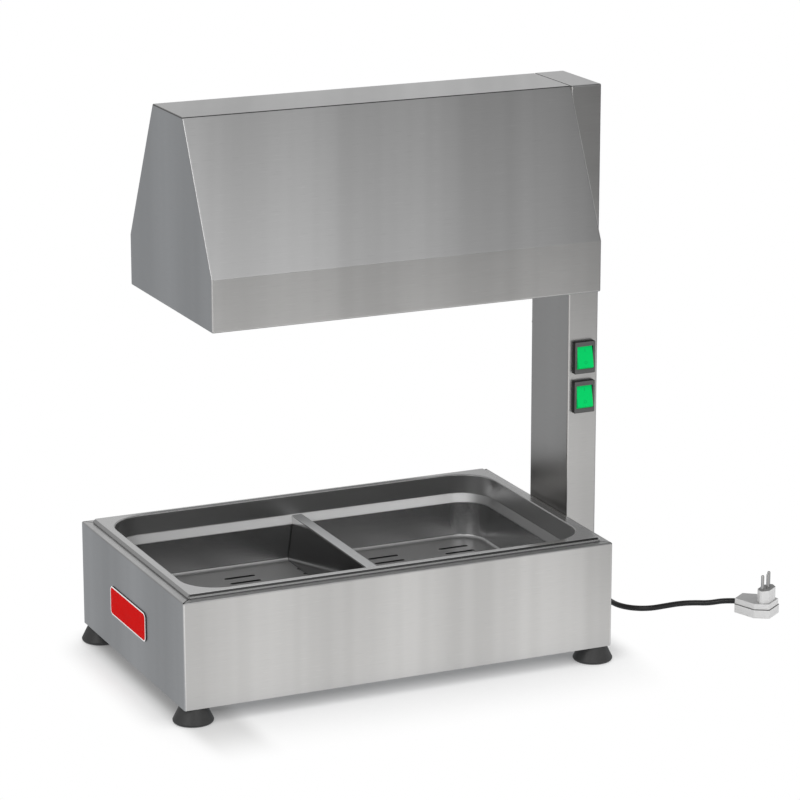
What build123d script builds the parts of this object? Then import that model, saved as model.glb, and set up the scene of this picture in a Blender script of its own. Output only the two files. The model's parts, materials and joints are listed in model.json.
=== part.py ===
from build123d import *
import math
import os

# Fry warmer: a slotted food pan in a folded steel base, under a lamp hood carried by one column.
# Millimetres, Z up, front towards -Y. X = 0 and Y = 0 are the middle of the machine without its cord.

# Folded sheet
sheet = 1.0
bend_radius = 2.0

# Base
base_margin = 10.0
base_height = 130.0
bottom_lip = 45.0
mitre_gap = 0.9
panel_gap = 1.0

# Feet
foot_height = 20.0
foot_width = 48.0
foot_neck = 32.0
foot_inset = 16.5
foot_edge = 3.0
foot_skirt = 3.5
foot_recess_width = 16.0
foot_recess_depth = 9.0

# Bolts, nuts and screws
bolt_diameter = 6.0
bolt_head_width = 10.0
bolt_head_height = 4.0
nut_height = 5.0
thread_play = 0.1
hole_play = 0.3
bolt_overhang = 2.0
screw_diameter = 3.5
screw_head_width = 6.5
screw_head_height = 2.2
screw_length = 8.0

# Food pan, one full gastronorm rim
rim_length = 530.0
rim_depth = 325.0
rim_width = 12.0
rim_lip = 5.0
rim_corner = 5.0
rim_slope = 2.8
rim_edge = 0.5
rim_roll = 1.2
rim_bead = 5.0
mouth_roll = 1.5
pan_sheet = 1.0
pan_corner = 45.0
pan_depth = 80.0
upper_wall = 25.0
upper_draft = 1.0
shoulder_height = 9.0
shoulder_step = 6.0
lower_draft = 5.0
floor_radius = 5.0
pan_gap = 1.5
slot_length = 40.0
slot_width = 5.5
slot_columns = 5
slot_rows = 11
slot_pitch_x = 96.7
slot_pitch_y = 20.3

# Pan divider
divider_top = 14.5
divider_foot = 35.0
divider_sheet = 1.0
divider_bend = 2.0
divider_gap = 0.3

# Nameplate on the left side
plate_length = 119.5
plate_height = 36.0
plate_corner = 7.0
plate_thickness = 1.5
plate_y = 9.4
plate_z = 81.7

# Column
column_width = 40.0
column_depth = 100.0
total_height = 683.0
column_sheet = 1.2
access_width = 22.0
access_bottom = 80.0
access_margin = 20.0
cover_overlap = 9.0
cover_sheet = 1.0
column_bolt_y = 30.0
column_bolt_low = 45.0
column_bolt_high = 125.0
backing_sheet = 3.0
backing_margin = 12.0

# Hood
hood_length = 494.0
hood_height = 233.0
hood_band = 62.0
hood_mouth_depth = 264.0
hood_top_depth = 96.0
hood_hem = 10.0
hood_bolt_y = 28.0
hood_bolt_rise = 40.0
hood_bolt_drop = 53.0

# Lamps and their bracket
lamp_spacing = 247.0
bracket_length = 440.0
bracket_sheet = 1.5
bracket_height = 24.0
bracket_width = 56.0
bracket_flange = 12.0
holder_width = 46.0
holder_height = 46.0
holder_bore_depth = 34.0
cap_width = 26.0
cap_height = 26.0
cap_play = 0.4
nipple_width = 10.0
nipple_bore = 6.0
nipple_depth = 8.0
nipple_nut_width = 14.0
nipple_nut_height = 4.0
lamp_neck = 12.4
lamp_width = 125.0
lamp_length = 170.0
lamp_face = 32.0
glass = 1.0

# Rocker switches on the column front
switch_upper = 349.0
switch_gap = 9.3
bezel_width = 28.0
bezel_height = 40.0
bezel_depth = 6.0
bezel_edge = 1.5
body_width = 25.4
body_height = 36.0
body_depth = 24.0
body_play = 0.3
rocker_radius = 15.5
rocker_width = 21.0
rocker_reach = 8.0
rocker_back = 4.0
rocker_proud = 0.8
rocker_edge = 0.8
rocker_tilt = 12.0
rocker_gap = 0.4
pivot_radius = 1.5
pivot_length = 1.2
pivot_play = 0.1
blade_width = 6.3
blade_length = 9.0
blade_thickness = 0.8
blade_pitch = 10.0

# Terminal block, earth stud and grommet inside the column
block_depth = 18.0
block_width = 30.0
block_height = 50.0
block_bottom = 85.0
block_screw = 3.0
block_screw_pitch = 36.0
stud_diameter = 5.0
stud_length = 12.0
stud_nut_width = 8.0
stud_nut_height = 4.0
stud_y = -33.0
stud_z = 85.0
wire_drop = 13.0
grommet_width = 22.0
grommet_groove = 17.0
grommet_bore = 13.5
grommet_flange = 2.0

# Wiring
lead_diameter = 4.0
wire_diameter = 3.0
earth_diameter = 2.5
lead_side = 4.2
lead_turn = 16.0
lead_rise = 1.5
lead_fall = 22.0
lead_back_upper = -5.0
lead_back_lower = 6.0
blade_run = 6.0
jumper_side = 9.0
feed_y = -8.0
feed_shift = 3.0
earth_height = 25.0
earth_run = 8.0
earth_fall = 11.0
tail_run = 26.0
tail_rise = 22.0

# Mains cord, gland and plug
cord_diameter = 7.0
cord_rest = 3.6
gland_z = 40.0
gland_thread = 16.0
gland_flange = 22.0
gland_flange_length = 4.0
gland_taper_start = 17.0
gland_taper_end = 11.0
gland_taper_length = 23.0
gland_nut_width = 20.0
gland_nut_height = 5.0
plug_x = 237.0
plug_y = -66.8
plug_angle = -54.1
plug_length = 49.4
plug_entry = 25.4
plug_width = 45.0
plug_widest = 31.7
plug_end = 30.2
plug_seam = 11.0
plug_height = 18.5
plug_wall = 2.2
plug_inset = 0.8
boss_centre = 38.0
boss_length = 33.3
boss_width = 16.0
boss_height = 16.3
boss_point = 3.0
boss_taper = 7.0
pin_diameter = 4.0
pin_length = 19.0
pin_root = 10.0
pin_spacing = 19.0
pin_middle = 3.0
pin_play = 0.05

# Sizes and positions that follow
base_length = rim_length + 2 * base_margin
base_depth = rim_depth + 2 * base_margin
foot_overhang = foot_width / 2 - foot_inset
overall_length = foot_overhang + base_length + column_width
base_left = foot_overhang - overall_length / 2
base_right = base_left + base_length
base_x = base_left + base_length / 2
base_bottom = foot_height
base_top = base_bottom + base_height
column_x = base_right + column_width / 2
column_front = -column_depth / 2
column_back = column_depth / 2
column_wall = base_right + column_sheet
hood_left = base_right - hood_length
hood_x = base_right - hood_length / 2
hood_bottom = total_height - hood_height
hood_inside = total_height - sheet
hood_bolt_low = hood_bottom + hood_bolt_rise
hood_bolt_high = total_height - hood_bolt_drop
wire_height = hood_inside - wire_drop
switch_lower = switch_upper - bezel_height - switch_gap
rim_top = base_top + rim_lip
pan_floor = rim_top - pan_depth
well_length = rim_length - 2 * rim_width
well_depth = rim_depth - 2 * rim_width
opening_length = well_length + 2 * (pan_sheet + pan_gap)
opening_depth = well_depth + 2 * (pan_sheet + pan_gap)
opening_corner = pan_corner + pan_sheet + pan_gap

os.makedirs("parts", exist_ok=True)


def level(x, y, z):
    """Plane facing up: local X to the right, local Y to the back."""
    return Plane(origin=(x, y, z), x_dir=(1, 0, 0), z_dir=(0, 0, 1))


def facing_front(x, y, z):
    """Plane facing the front: local X to the right, local Y up."""
    return Plane(origin=(x, y, z), x_dir=(1, 0, 0), z_dir=(0, -1, 0))


def facing_right(x, y, z):
    """Plane facing right: local X to the back, local Y up."""
    return Plane(origin=(x, y, z), x_dir=(0, 1, 0), z_dir=(1, 0, 0))


def facing_left(x, y, z):
    """Plane facing left: local X to the front, local Y up."""
    return Plane(origin=(x, y, z), x_dir=(0, -1, 0), z_dir=(-1, 0, 0))


def save(piece, name):
    """Label one finished piece and write it to its file."""
    piece.label = name
    export_step(piece, f"parts/{name}.step")


def hex_bolts(plane, points, diameter, head_width, head_height, shank):
    """Hexagon bolts with their heads standing on a plane and their shanks behind it."""
    with BuildPart() as bolts:
        with BuildSketch(plane):
            with Locations(*points):
                RegularPolygon(head_width / 2, 6, major_radius=False)
        extrude(amount=head_height)
        with BuildSketch(plane):
            with Locations(*points):
                Circle(diameter / 2)
        extrude(amount=-shank)
    return bolts.part


def hex_nuts(plane, points, diameter, width, height):
    """Hexagon nuts standing on a plane."""
    with BuildPart() as nuts:
        with BuildSketch(plane):
            with Locations(*points):
                RegularPolygon(width / 2, 6, major_radius=False)
                Circle(diameter / 2 + thread_play, mode=Mode.SUBTRACT)
        extrude(amount=height)
    return nuts.part


def corner_radii(points):
    """The largest bend at each corner of a route that leaves a tenth of the shorter run straight."""
    radii = []
    for before, corner, after in zip(points, points[1:], points[2:]):
        arriving = Vector(*corner) - Vector(*before)
        leaving = Vector(*after) - Vector(*corner)
        turn = math.radians(arriving.get_angle(leaving))
        radii.append(0.45 * min(arriving.length, leaving.length) / math.tan(turn / 2))
    return radii


def tube(points, diameter):
    """A round wire along straight runs joined by tangent bends."""
    with BuildPart() as wire:
        with BuildLine() as route:
            FilletPolyline(*points, radius=corner_radii(points))
        with BuildSketch(Plane(origin=route.line @ 0, z_dir=route.line % 0)):
            Circle(diameter / 2)
        sweep()
    return wire.part


# Base casing
foot_reach_x = base_length / 2 - foot_inset
foot_reach_y = base_depth / 2 - foot_inset
column_bolt_points = []
for side in (-column_bolt_y, column_bolt_y):
    column_bolt_points.append((side, column_bolt_low))
    column_bolt_points.append((side, column_bolt_high))

with BuildPart() as base_casing:
    with BuildSketch(level(base_x, 0, base_bottom)):
        Rectangle(base_length, base_depth)
    extrude(amount=base_height)
    fillet(base_casing.edges().filter_by(Axis.Z), radius=bend_radius)
    fillet(base_casing.faces().sort_by(Axis.Z)[-1].edges(), radius=bend_radius)
    with BuildSketch(level(base_x, 0, base_bottom + sheet)):
        RectangleRounded(base_length - 2 * sheet, base_depth - 2 * sheet, bend_radius - sheet / 2)
    extrude(amount=base_height - 2 * sheet, mode=Mode.SUBTRACT)
    # Opening for the pan, with a slit at each mitred corner of the flanges
    with BuildSketch(level(base_x, 0, base_top)):
        RectangleRounded(opening_length, opening_depth, opening_corner)
        for across in (-1, 1):
            for along in (-1, 1):
                with BuildLine(mode=Mode.PRIVATE) as mitre:
                    Line(
                        (across * (opening_length / 2 - opening_corner / 2),
                         along * (opening_depth / 2 - opening_corner / 2)),
                        (across * (base_length / 2 - bend_radius),
                         along * (base_depth / 2 - bend_radius)),
                    )
                add(trace(mitre.line, line_width=mitre_gap, mode=Mode.PRIVATE))
    extrude(amount=-sheet, mode=Mode.SUBTRACT)
    # Underside between the return lips, and the foot screw holes
    with BuildSketch(level(base_x, 0, base_bottom)):
        Rectangle(base_length - 2 * bottom_lip, base_depth - 2 * bottom_lip)
        with GridLocations(2 * foot_reach_x, 2 * foot_reach_y, 2, 2):
            Circle(bolt_diameter / 2 + hole_play)
    extrude(amount=sheet, mode=Mode.SUBTRACT)
    # Column bolt holes in the right side
    with BuildSketch(facing_right(base_right, 0, 0)):
        with Locations(*column_bolt_points):
            Circle(bolt_diameter / 2 + hole_play)
    extrude(amount=-sheet, mode=Mode.SUBTRACT)
save(base_casing.part, "base_casing")

# Bottom panel lying on the return lips
panel_z = base_bottom + sheet
with BuildPart() as bottom_panel:
    with BuildSketch(level(base_x, 0, panel_z)):
        RectangleRounded(
            base_length - 2 * (sheet + panel_gap), base_depth - 2 * (sheet + panel_gap), bend_radius
        )
        with GridLocations(2 * foot_reach_x, 2 * foot_reach_y, 2, 2):
            Circle(bolt_diameter / 2 + hole_play, mode=Mode.SUBTRACT)
    extrude(amount=sheet)
save(bottom_panel.part, "bottom_panel")

# Rubber feet with their screws and nuts
foot_points = []
for end, across in (("left", -1), ("right", 1)):
    for face, along in (("front", -1), ("rear", 1)):
        foot_x = base_x + across * foot_reach_x
        foot_y = along * foot_reach_y
        foot_points.append((foot_x, foot_y))
        with BuildPart() as foot:
            with BuildSketch(facing_front(foot_x, foot_y, 0)):
                with BuildLine():
                    Polyline(
                        (0, 0), (foot_width / 2, 0), (foot_width / 2, foot_skirt),
                        (foot_neck / 2, foot_height), (0, foot_height),
                        close=True,
                    )
                make_face()
                fillet(vertices().group_by(Axis.X)[-1].sort_by(Axis.Y)[0], radius=foot_edge)
            revolve(axis=Axis((foot_x, foot_y, 0), (0, 0, 1)))
            with BuildSketch(level(foot_x, foot_y, 0)):
                Circle(foot_recess_width / 2)
            extrude(amount=foot_recess_depth, mode=Mode.SUBTRACT)
            with BuildSketch(level(foot_x, foot_y, 0)):
                Circle(bolt_diameter / 2 + hole_play)
            extrude(amount=foot_height, mode=Mode.SUBTRACT)
        save(foot.part, f"foot_{face}_{end}")

foot_screw_length = foot_height - foot_recess_depth + 2 * sheet + nut_height + bolt_overhang
foot_screws = hex_bolts(
    Plane(origin=(0, 0, foot_recess_depth), x_dir=(1, 0, 0), z_dir=(0, 0, -1)),
    [(x, -y) for x, y in foot_points],
    bolt_diameter, bolt_head_width, bolt_head_height, foot_screw_length,
)
save(foot_screws, "foot_screws")
foot_nuts = hex_nuts(level(0, 0, panel_z + sheet), foot_points, bolt_diameter, bolt_head_width, nut_height)
save(foot_nuts, "foot_nuts")

# Nameplate, left plain
with BuildPart() as nameplate:
    with BuildSketch(facing_left(base_left, plate_y, plate_z)):
        RectangleRounded(plate_length, plate_height, plate_corner)
    extrude(amount=plate_thickness)
    fillet(nameplate.faces().sort_by(Axis.X)[0].edges(), radius=plate_thickness / 4)
save(nameplate.part, "nameplate")


# Food pan
def pan_bowl(grow):
    """The pan's hollow from rim to floor, grown outwards by the given amount."""
    shoulder_top = rim_top - upper_wall
    narrow = upper_draft + shoulder_step
    heights = (rim_top, shoulder_top, shoulder_top - shoulder_height, pan_floor - grow)
    insets = (0, upper_draft, narrow, narrow + lower_draft)
    with BuildPart() as bowl:
        for height, inset in zip(heights, insets):
            with BuildSketch(level(base_x, 0, height)):
                RectangleRounded(
                    well_length + 2 * (grow - inset),
                    well_depth + 2 * (grow - inset),
                    pan_corner + grow - inset,
                )
        loft(ruled=True)
        fillet(bowl.faces().sort_by(Axis.Z)[0].edges(), radius=floor_radius + grow)
    return bowl.part


pan_outside = pan_bowl(pan_sheet)
pan_inside = pan_bowl(0)
divider_space = pan_bowl(-divider_gap)

with BuildPart() as pan:
    with BuildSketch(level(base_x, 0, base_top)):
        RectangleRounded(rim_length, rim_depth, rim_corner)
    extrude(amount=rim_lip)
    # Sloping edge all round the rim, rolled under at its foot
    chamfer(pan.faces().sort_by(Axis.Z)[-1].edges(), length=rim_slope)
    fillet(pan.faces().sort_by(Axis.Z)[-1].edges(), radius=rim_edge)
    fillet(pan.faces().sort_by(Axis.Z)[0].edges(), radius=rim_roll)
    with BuildSketch(level(base_x, 0, base_top)):
        Rectangle(rim_length - 2 * rim_bead, rim_depth - 2 * rim_bead)
    extrude(amount=rim_lip - pan_sheet, mode=Mode.SUBTRACT)
    add(pan_outside)
    add(pan_inside, mode=Mode.SUBTRACT)
    # Rolled edge round the mouth
    fillet(pan.faces().sort_by(Axis.Z)[-1].inner_wires()[0].edges(), radius=mouth_roll)
    with BuildSketch(level(base_x, 0, pan_floor)):
        with GridLocations(slot_pitch_x, slot_pitch_y, slot_columns, slot_rows):
            SlotOverall(slot_length, slot_width)
    extrude(amount=-pan_sheet, mode=Mode.SUBTRACT)
save(pan.part, "pan")

# Pan divider, a folded strip whose ears stand on the pan's shoulder
divider_crest = rim_top - upper_wall
with BuildPart() as pan_divider:
    with BuildSketch(facing_front(base_x, 0, 0)):
        with BuildLine():
            Polyline(
                (-divider_foot / 2, pan_floor), (-divider_top / 2, divider_crest),
                (divider_top / 2, divider_crest), (divider_foot / 2, pan_floor),
                close=True,
            )
        make_face()
        divider_edges = vertices().group_by(Axis.Y)[-1]
        fillet(divider_edges, radius=divider_bend)
        offset(amount=-divider_sheet, kind=Kind.INTERSECTION, mode=Mode.SUBTRACT)
        with Locations((0, pan_floor)):
            Rectangle(divider_foot - 4 * divider_sheet, 2 * divider_sheet + 2, mode=Mode.SUBTRACT)
    extrude(amount=well_depth / 2, both=True)
    add(divider_space, mode=Mode.INTERSECT)
save(pan_divider.part, "pan_divider")

# Column shell
hood_bolt_points = []
for side in (-hood_bolt_y, hood_bolt_y):
    hood_bolt_points.append((side, hood_bolt_low))
    hood_bolt_points.append((side, hood_bolt_high))
access_top = total_height - access_margin
access_height = access_top - access_bottom
access_z = (access_bottom + access_top) / 2
cover_width = access_width + 2 * cover_overlap - 2 * bend_radius
cover_height = access_height + 2 * cover_overlap
cover_screw_x = access_width / 2 + cover_overlap / 2
cover_screw_points = []
for side in (-cover_screw_x, cover_screw_x):
    for rise in (-1, 0, 1):
        cover_screw_points.append((side, rise * (access_height / 2 - cover_overlap)))
switch_heights = (switch_upper, switch_lower)

with BuildPart() as column_shell:
    with BuildSketch(level(column_x, 0, base_bottom)):
        Rectangle(column_width, column_depth)
    extrude(amount=total_height - base_bottom)
    fillet(column_shell.edges(), radius=bend_radius)
    with BuildSketch(level(column_x, 0, base_bottom + column_sheet)):
        Rectangle(column_width - 2 * column_sheet, column_depth - 2 * column_sheet)
    extrude(amount=total_height - base_bottom - 2 * column_sheet, mode=Mode.SUBTRACT)
    # Access opening, cover screw holes and gland hole in the back
    with BuildSketch(facing_front(column_x, column_back - column_sheet, access_z)):
        Rectangle(access_width, access_height)
        with Locations(*cover_screw_points):
            Circle(screw_diameter / 2 + thread_play)
        with Locations((0, gland_z - access_z)):
            Circle(gland_thread / 2 + hole_play)
    extrude(amount=-column_sheet, mode=Mode.SUBTRACT)
    # Switch cutouts in the front
    with BuildSketch(facing_front(column_x, column_front, 0)):
        with Locations(*[(0, height) for height in switch_heights]):
            Rectangle(body_width + 2 * body_play, body_height + 2 * body_play)
    extrude(amount=-column_sheet, mode=Mode.SUBTRACT)
    # Bolt holes, wire hole and fixings in the wall against base and hood
    with BuildSketch(facing_right(base_right, 0, 0)):
        with Locations(*column_bolt_points, *hood_bolt_points):
            Circle(bolt_diameter / 2 + hole_play)
        with Locations((0, wire_height)):
            Circle(grommet_groove / 2 + hole_play)
        for rise in (-1, 1):
            with Locations((0, block_bottom + block_height / 2 + rise * block_screw_pitch / 2)):
                Circle(block_screw / 2 + thread_play)
    extrude(amount=column_sheet, mode=Mode.SUBTRACT)
save(column_shell.part, "column_shell")

# Rear access cover and its screws
with BuildPart() as column_cover:
    with BuildSketch(facing_front(column_x, column_back, access_z)):
        RectangleRounded(cover_width, cover_height, bend_radius)
        with Locations(*cover_screw_points):
            Circle(screw_diameter / 2 + hole_play, mode=Mode.SUBTRACT)
    extrude(amount=-cover_sheet)
save(column_cover.part, "column_cover")

with BuildPart() as cover_screws:
    with BuildSketch(facing_front(column_x, column_back + cover_sheet, access_z)):
        with Locations(*cover_screw_points):
            Circle(screw_head_width / 2)
    extrude(amount=-screw_head_height)
    fillet(cover_screws.faces().group_by(Axis.Y)[-1].edges(), radius=screw_head_height / 2)
    with BuildSketch(facing_front(column_x, column_back + cover_sheet, access_z)):
        with Locations(*cover_screw_points):
            Circle(screw_diameter / 2)
    extrude(amount=screw_length)
save(cover_screws.part, "cover_screws")

# Backing plate, bolts and nuts that join column and base
backing_x = base_right - sheet - backing_sheet
with BuildPart() as backing_plate:
    with BuildSketch(facing_right(backing_x, 0, (column_bolt_low + column_bolt_high) / 2)):
        Rectangle(
            2 * (column_bolt_y + backing_margin), column_bolt_high - column_bolt_low + 2 * backing_margin
        )
    extrude(amount=backing_sheet)
    with BuildSketch(facing_right(backing_x, 0, 0)):
        with Locations(*column_bolt_points):
            Circle(bolt_diameter / 2 + hole_play)
    extrude(amount=backing_sheet, mode=Mode.SUBTRACT)
save(backing_plate.part, "backing_plate")

column_bolts = hex_bolts(
    facing_right(column_wall, 0, 0), column_bolt_points, bolt_diameter, bolt_head_width,
    bolt_head_height, column_sheet + sheet + backing_sheet + nut_height + bolt_overhang,
)
save(column_bolts, "column_bolts")
column_nuts = hex_nuts(
    facing_left(backing_x, 0, 0), [(-y, z) for y, z in column_bolt_points],
    bolt_diameter, bolt_head_width, nut_height,
)
save(column_nuts, "column_nuts")

# Hood
hood_outline = (
    (-hood_mouth_depth / 2, hood_bottom),
    (hood_mouth_depth / 2, hood_bottom),
    (hood_mouth_depth / 2, hood_bottom + hood_band),
    (hood_top_depth / 2, total_height),
    (-hood_top_depth / 2, total_height),
    (-hood_mouth_depth / 2, hood_bottom + hood_band),
)
with BuildPart() as hood_shell:
    with BuildSketch(facing_right(hood_left, 0, 0)):
        with BuildLine():
            Polyline(*hood_outline, close=True)
        make_face()
    extrude(amount=hood_length)
    fillet(hood_shell.edges(), radius=bend_radius)
    with BuildSketch(facing_right(hood_left + sheet, 0, 0)):
        with BuildLine():
            Polyline(*hood_outline, close=True)
        make_face()
        offset(amount=-sheet, kind=Kind.INTERSECTION, mode=Mode.REPLACE)
    extrude(amount=hood_length - 2 * sheet, mode=Mode.SUBTRACT)
    # Mouth inside the turned-in hem
    with BuildSketch(level(hood_x, 0, hood_bottom)):
        Rectangle(hood_length - 2 * hood_hem, hood_mouth_depth - 2 * hood_hem)
    extrude(amount=sheet, mode=Mode.SUBTRACT)
    # Bolt holes and wire hole in the end against the column
    with BuildSketch(facing_right(base_right - sheet, 0, 0)):
        with Locations(*hood_bolt_points):
            Circle(bolt_diameter / 2 + hole_play)
        with Locations((0, wire_height)):
            Circle(grommet_groove / 2 + hole_play)
    extrude(amount=sheet, mode=Mode.SUBTRACT)
save(hood_shell.part, "hood_shell")

hood_bolts = hex_bolts(
    facing_right(column_wall, 0, 0), hood_bolt_points, bolt_diameter, bolt_head_width,
    bolt_head_height, column_sheet + sheet + nut_height + bolt_overhang,
)
save(hood_bolts, "hood_bolts")
hood_nuts = hex_nuts(
    facing_left(base_right - sheet, 0, 0), [(-y, z) for y, z in hood_bolt_points],
    bolt_diameter, bolt_head_width, nut_height,
)
save(hood_nuts, "hood_nuts")

# Grommet in the wire hole between hood and column
with BuildPart() as wire_grommet:
    with BuildSketch(facing_right(base_right - sheet - grommet_flange, 0, wire_height)):
        Circle(grommet_width / 2)
    extrude(amount=grommet_flange)
    with BuildSketch(facing_right(base_right - sheet, 0, wire_height)):
        Circle(grommet_groove / 2)
    extrude(amount=sheet + column_sheet)
    with BuildSketch(facing_right(column_wall, 0, wire_height)):
        Circle(grommet_width / 2)
    extrude(amount=grommet_flange)
    with BuildSketch(facing_right(base_right - sheet - grommet_flange, 0, wire_height)):
        Circle(grommet_bore / 2)
    extrude(amount=sheet + column_sheet + 2 * grommet_flange, mode=Mode.SUBTRACT)
save(wire_grommet.part, "wire_grommet")

# Lamp bracket, a hat section under the hood top
web_bottom = hood_inside - bracket_height
web_top = web_bottom + bracket_sheet
flange_bottom = hood_inside - bracket_sheet
channel = bracket_width / 2
channel_inside = channel - bracket_sheet
wing = channel + bracket_flange
lamp_positions = (("left", hood_x - lamp_spacing / 2), ("right", hood_x + lamp_spacing / 2))
with BuildPart() as lamp_bracket:
    with BuildSketch(facing_right(hood_x - bracket_length / 2, 0, 0)):
        with BuildLine():
            Polyline(
                (-wing, hood_inside), (-wing, flange_bottom), (-channel, flange_bottom),
                (-channel, web_bottom), (channel, web_bottom), (channel, flange_bottom),
                (wing, flange_bottom), (wing, hood_inside), (channel_inside, hood_inside),
                (channel_inside, web_top), (-channel_inside, web_top), (-channel_inside, hood_inside),
                close=True,
            )
        make_face()
    extrude(amount=bracket_length)
    with BuildSketch(level(0, 0, web_bottom)):
        with Locations(*[(x, 0) for side, x in lamp_positions]):
            Circle(nipple_width / 2 + hole_play)
    extrude(amount=bracket_sheet, mode=Mode.SUBTRACT)
save(lamp_bracket.part, "lamp_bracket")

# Lampholders, caps and bulbs
holder_bottom = web_bottom - holder_height
cap_top = holder_bottom + holder_bore_depth
glass_top = cap_top - cap_height
lamp_bottom = cap_top - lamp_length
lamp_belly = lamp_bottom + lamp_face


def bulb_side(shrink):
    """One side of the reflector bulb's glass, from the neck to the middle of its domed face."""
    neck = lamp_neck - shrink
    belly = lamp_width / 2 - shrink
    base = lamp_bottom + shrink
    neck_end = holder_bottom - 2
    waist = ((neck + belly) / 2, (neck_end + lamp_belly) / 2)
    Line((neck, glass_top), (neck, neck_end))
    Spline((neck, neck_end), waist, (belly, lamp_belly), tangents=((0, -1), (0, -1)))
    Spline((belly, lamp_belly), (0, base), tangents=((0, -1), (-1, 0)))


for side, lamp_x in lamp_positions:
    with BuildPart() as lampholder:
        with BuildSketch(level(lamp_x, 0, holder_bottom)):
            Circle(holder_width / 2)
        extrude(amount=holder_height)
        fillet(lampholder.faces().sort_by(Axis.Z)[0].edges(), radius=bend_radius)
        with BuildSketch(level(lamp_x, 0, holder_bottom)):
            Circle(cap_width / 2 + cap_play)
        extrude(amount=holder_bore_depth, mode=Mode.SUBTRACT)
        with BuildSketch(level(lamp_x, 0, web_bottom)):
            Circle(nipple_width / 2 + thread_play)
        extrude(amount=-nipple_depth, mode=Mode.SUBTRACT)
    save(lampholder.part, f"lampholder_{side}")

    with BuildPart() as lamp_cap:
        with BuildSketch(level(lamp_x, 0, glass_top)):
            Circle(cap_width / 2)
        extrude(amount=cap_height)
        fillet(lamp_cap.faces().sort_by(Axis.Z)[-1].edges(), radius=bend_radius)
    save(lamp_cap.part, f"lamp_cap_{side}")

    with BuildPart() as lamp_bulb:
        with BuildSketch(facing_front(lamp_x, 0, 0)):
            with BuildLine():
                bulb_side(0)
                bulb_side(glass)
                Line((lamp_neck - glass, glass_top), (lamp_neck, glass_top))
                Line((0, lamp_bottom), (0, lamp_bottom + glass))
            make_face()
        revolve(axis=Axis((lamp_x, 0, 0), (0, 0, 1)))
    save(lamp_bulb.part, f"lamp_bulb_{side}")

# Threaded nipples and lock nuts that hold the lampholders
nipple_bottom = web_bottom - nipple_depth
nipple_top = web_top + nipple_nut_height + bolt_overhang
nipple_points = [(x, 0) for side, x in lamp_positions]
with BuildPart() as holder_nipples:
    with BuildSketch(level(0, 0, nipple_bottom)):
        with Locations(*nipple_points):
            Circle(nipple_width / 2)
            Circle(nipple_bore / 2, mode=Mode.SUBTRACT)
    extrude(amount=nipple_top - nipple_bottom)
save(holder_nipples.part, "holder_nipples")
holder_nuts = hex_nuts(level(0, 0, web_top), nipple_points, nipple_width, nipple_nut_width, nipple_nut_height)
save(holder_nuts, "holder_nuts")

# Rocker switches
bezel_front = column_front - bezel_depth
pivot_y = bezel_front - rocker_proud + rocker_reach
body_back = column_front + body_depth
blade_end = body_back + blade_length
cavity_radius = rocker_radius + rocker_gap
cavity_width = rocker_width + 2 * rocker_gap
for name, switch_z in (("upper", switch_upper), ("lower", switch_lower)):
    pivot = Axis((column_x, pivot_y, switch_z), (1, 0, 0))
    with BuildPart() as switch_body:
        with BuildSketch(facing_front(column_x, column_front, switch_z)):
            RectangleRounded(bezel_width, bezel_height, bezel_edge)
        extrude(amount=bezel_depth)
        fillet(switch_body.faces().sort_by(Axis.Y)[0].edges(), radius=bezel_edge / 2)
        with BuildSketch(facing_front(column_x, column_front, switch_z)):
            Rectangle(body_width, body_height)
        extrude(amount=-body_depth)
        with BuildSketch(facing_right(column_x - cavity_width / 2, pivot_y, switch_z)):
            Circle(cavity_radius)
        extrude(amount=cavity_width, mode=Mode.SUBTRACT)
        with BuildSketch(facing_right(column_x - cavity_width / 2 - pivot_length, pivot_y, switch_z)):
            Circle(pivot_radius + pivot_play)
        extrude(amount=cavity_width + 2 * pivot_length, mode=Mode.SUBTRACT)
    save(switch_body.part, f"switch_body_{name}")

    with BuildPart() as rocker:
        with BuildSketch(facing_right(column_x - rocker_width / 2, pivot_y, switch_z)):
            Circle(rocker_radius)
            with Locations(((rocker_back - rocker_reach) / 2, 0)):
                Rectangle(rocker_reach + rocker_back, 2 * rocker_radius, mode=Mode.INTERSECT)
        extrude(amount=rocker_width)
        fillet(rocker.faces().sort_by(Axis.Y)[0].edges(), radius=rocker_edge)
        with BuildSketch(facing_right(column_x - rocker_width / 2 - pivot_length, pivot_y, switch_z)):
            Circle(pivot_radius)
        extrude(amount=rocker_width + 2 * pivot_length)
    save(rocker.part.rotate(pivot, -rocker_tilt), f"rocker_{name}")

blade_points = []
for switch_z in switch_heights:
    for rise in (-1, 0, 1):
        blade_points.append((0, switch_z + rise * blade_pitch))
with BuildPart() as switch_blades:
    with BuildSketch(facing_front(column_x, body_back, 0)):
        with Locations(*blade_points):
            Rectangle(blade_width, blade_thickness)
    extrude(amount=-blade_length)
save(switch_blades.part, "switch_blades")

# Terminal block, its screws and the earth stud
block_x = column_wall + block_depth / 2
block_top = block_bottom + block_height
block_front = -block_width / 2
block_screw_points = []
for rise in (-1, 1):
    block_screw_points.append((0, block_bottom + block_height / 2 + rise * block_screw_pitch / 2))
with BuildPart() as terminal_block:
    with BuildSketch(facing_right(column_wall, 0, block_bottom + block_height / 2)):
        Rectangle(block_width, block_height)
    extrude(amount=block_depth)
    fillet(terminal_block.edges().filter_by(Axis.X), radius=bend_radius)
    with BuildSketch(facing_right(column_wall, 0, 0)):
        with Locations(*block_screw_points):
            Circle(block_screw / 2 + hole_play)
    extrude(amount=block_depth, mode=Mode.SUBTRACT)
save(terminal_block.part, "terminal_block")

with BuildPart() as block_screws:
    with BuildSketch(facing_right(column_wall + block_depth, 0, 0)):
        with Locations(*block_screw_points):
            Circle(screw_head_width / 2)
    extrude(amount=screw_head_height)
    with BuildSketch(facing_right(base_right, 0, 0)):
        with Locations(*block_screw_points):
            Circle(block_screw / 2)
    extrude(amount=block_depth + column_sheet)
save(block_screws.part, "block_screws")

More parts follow.
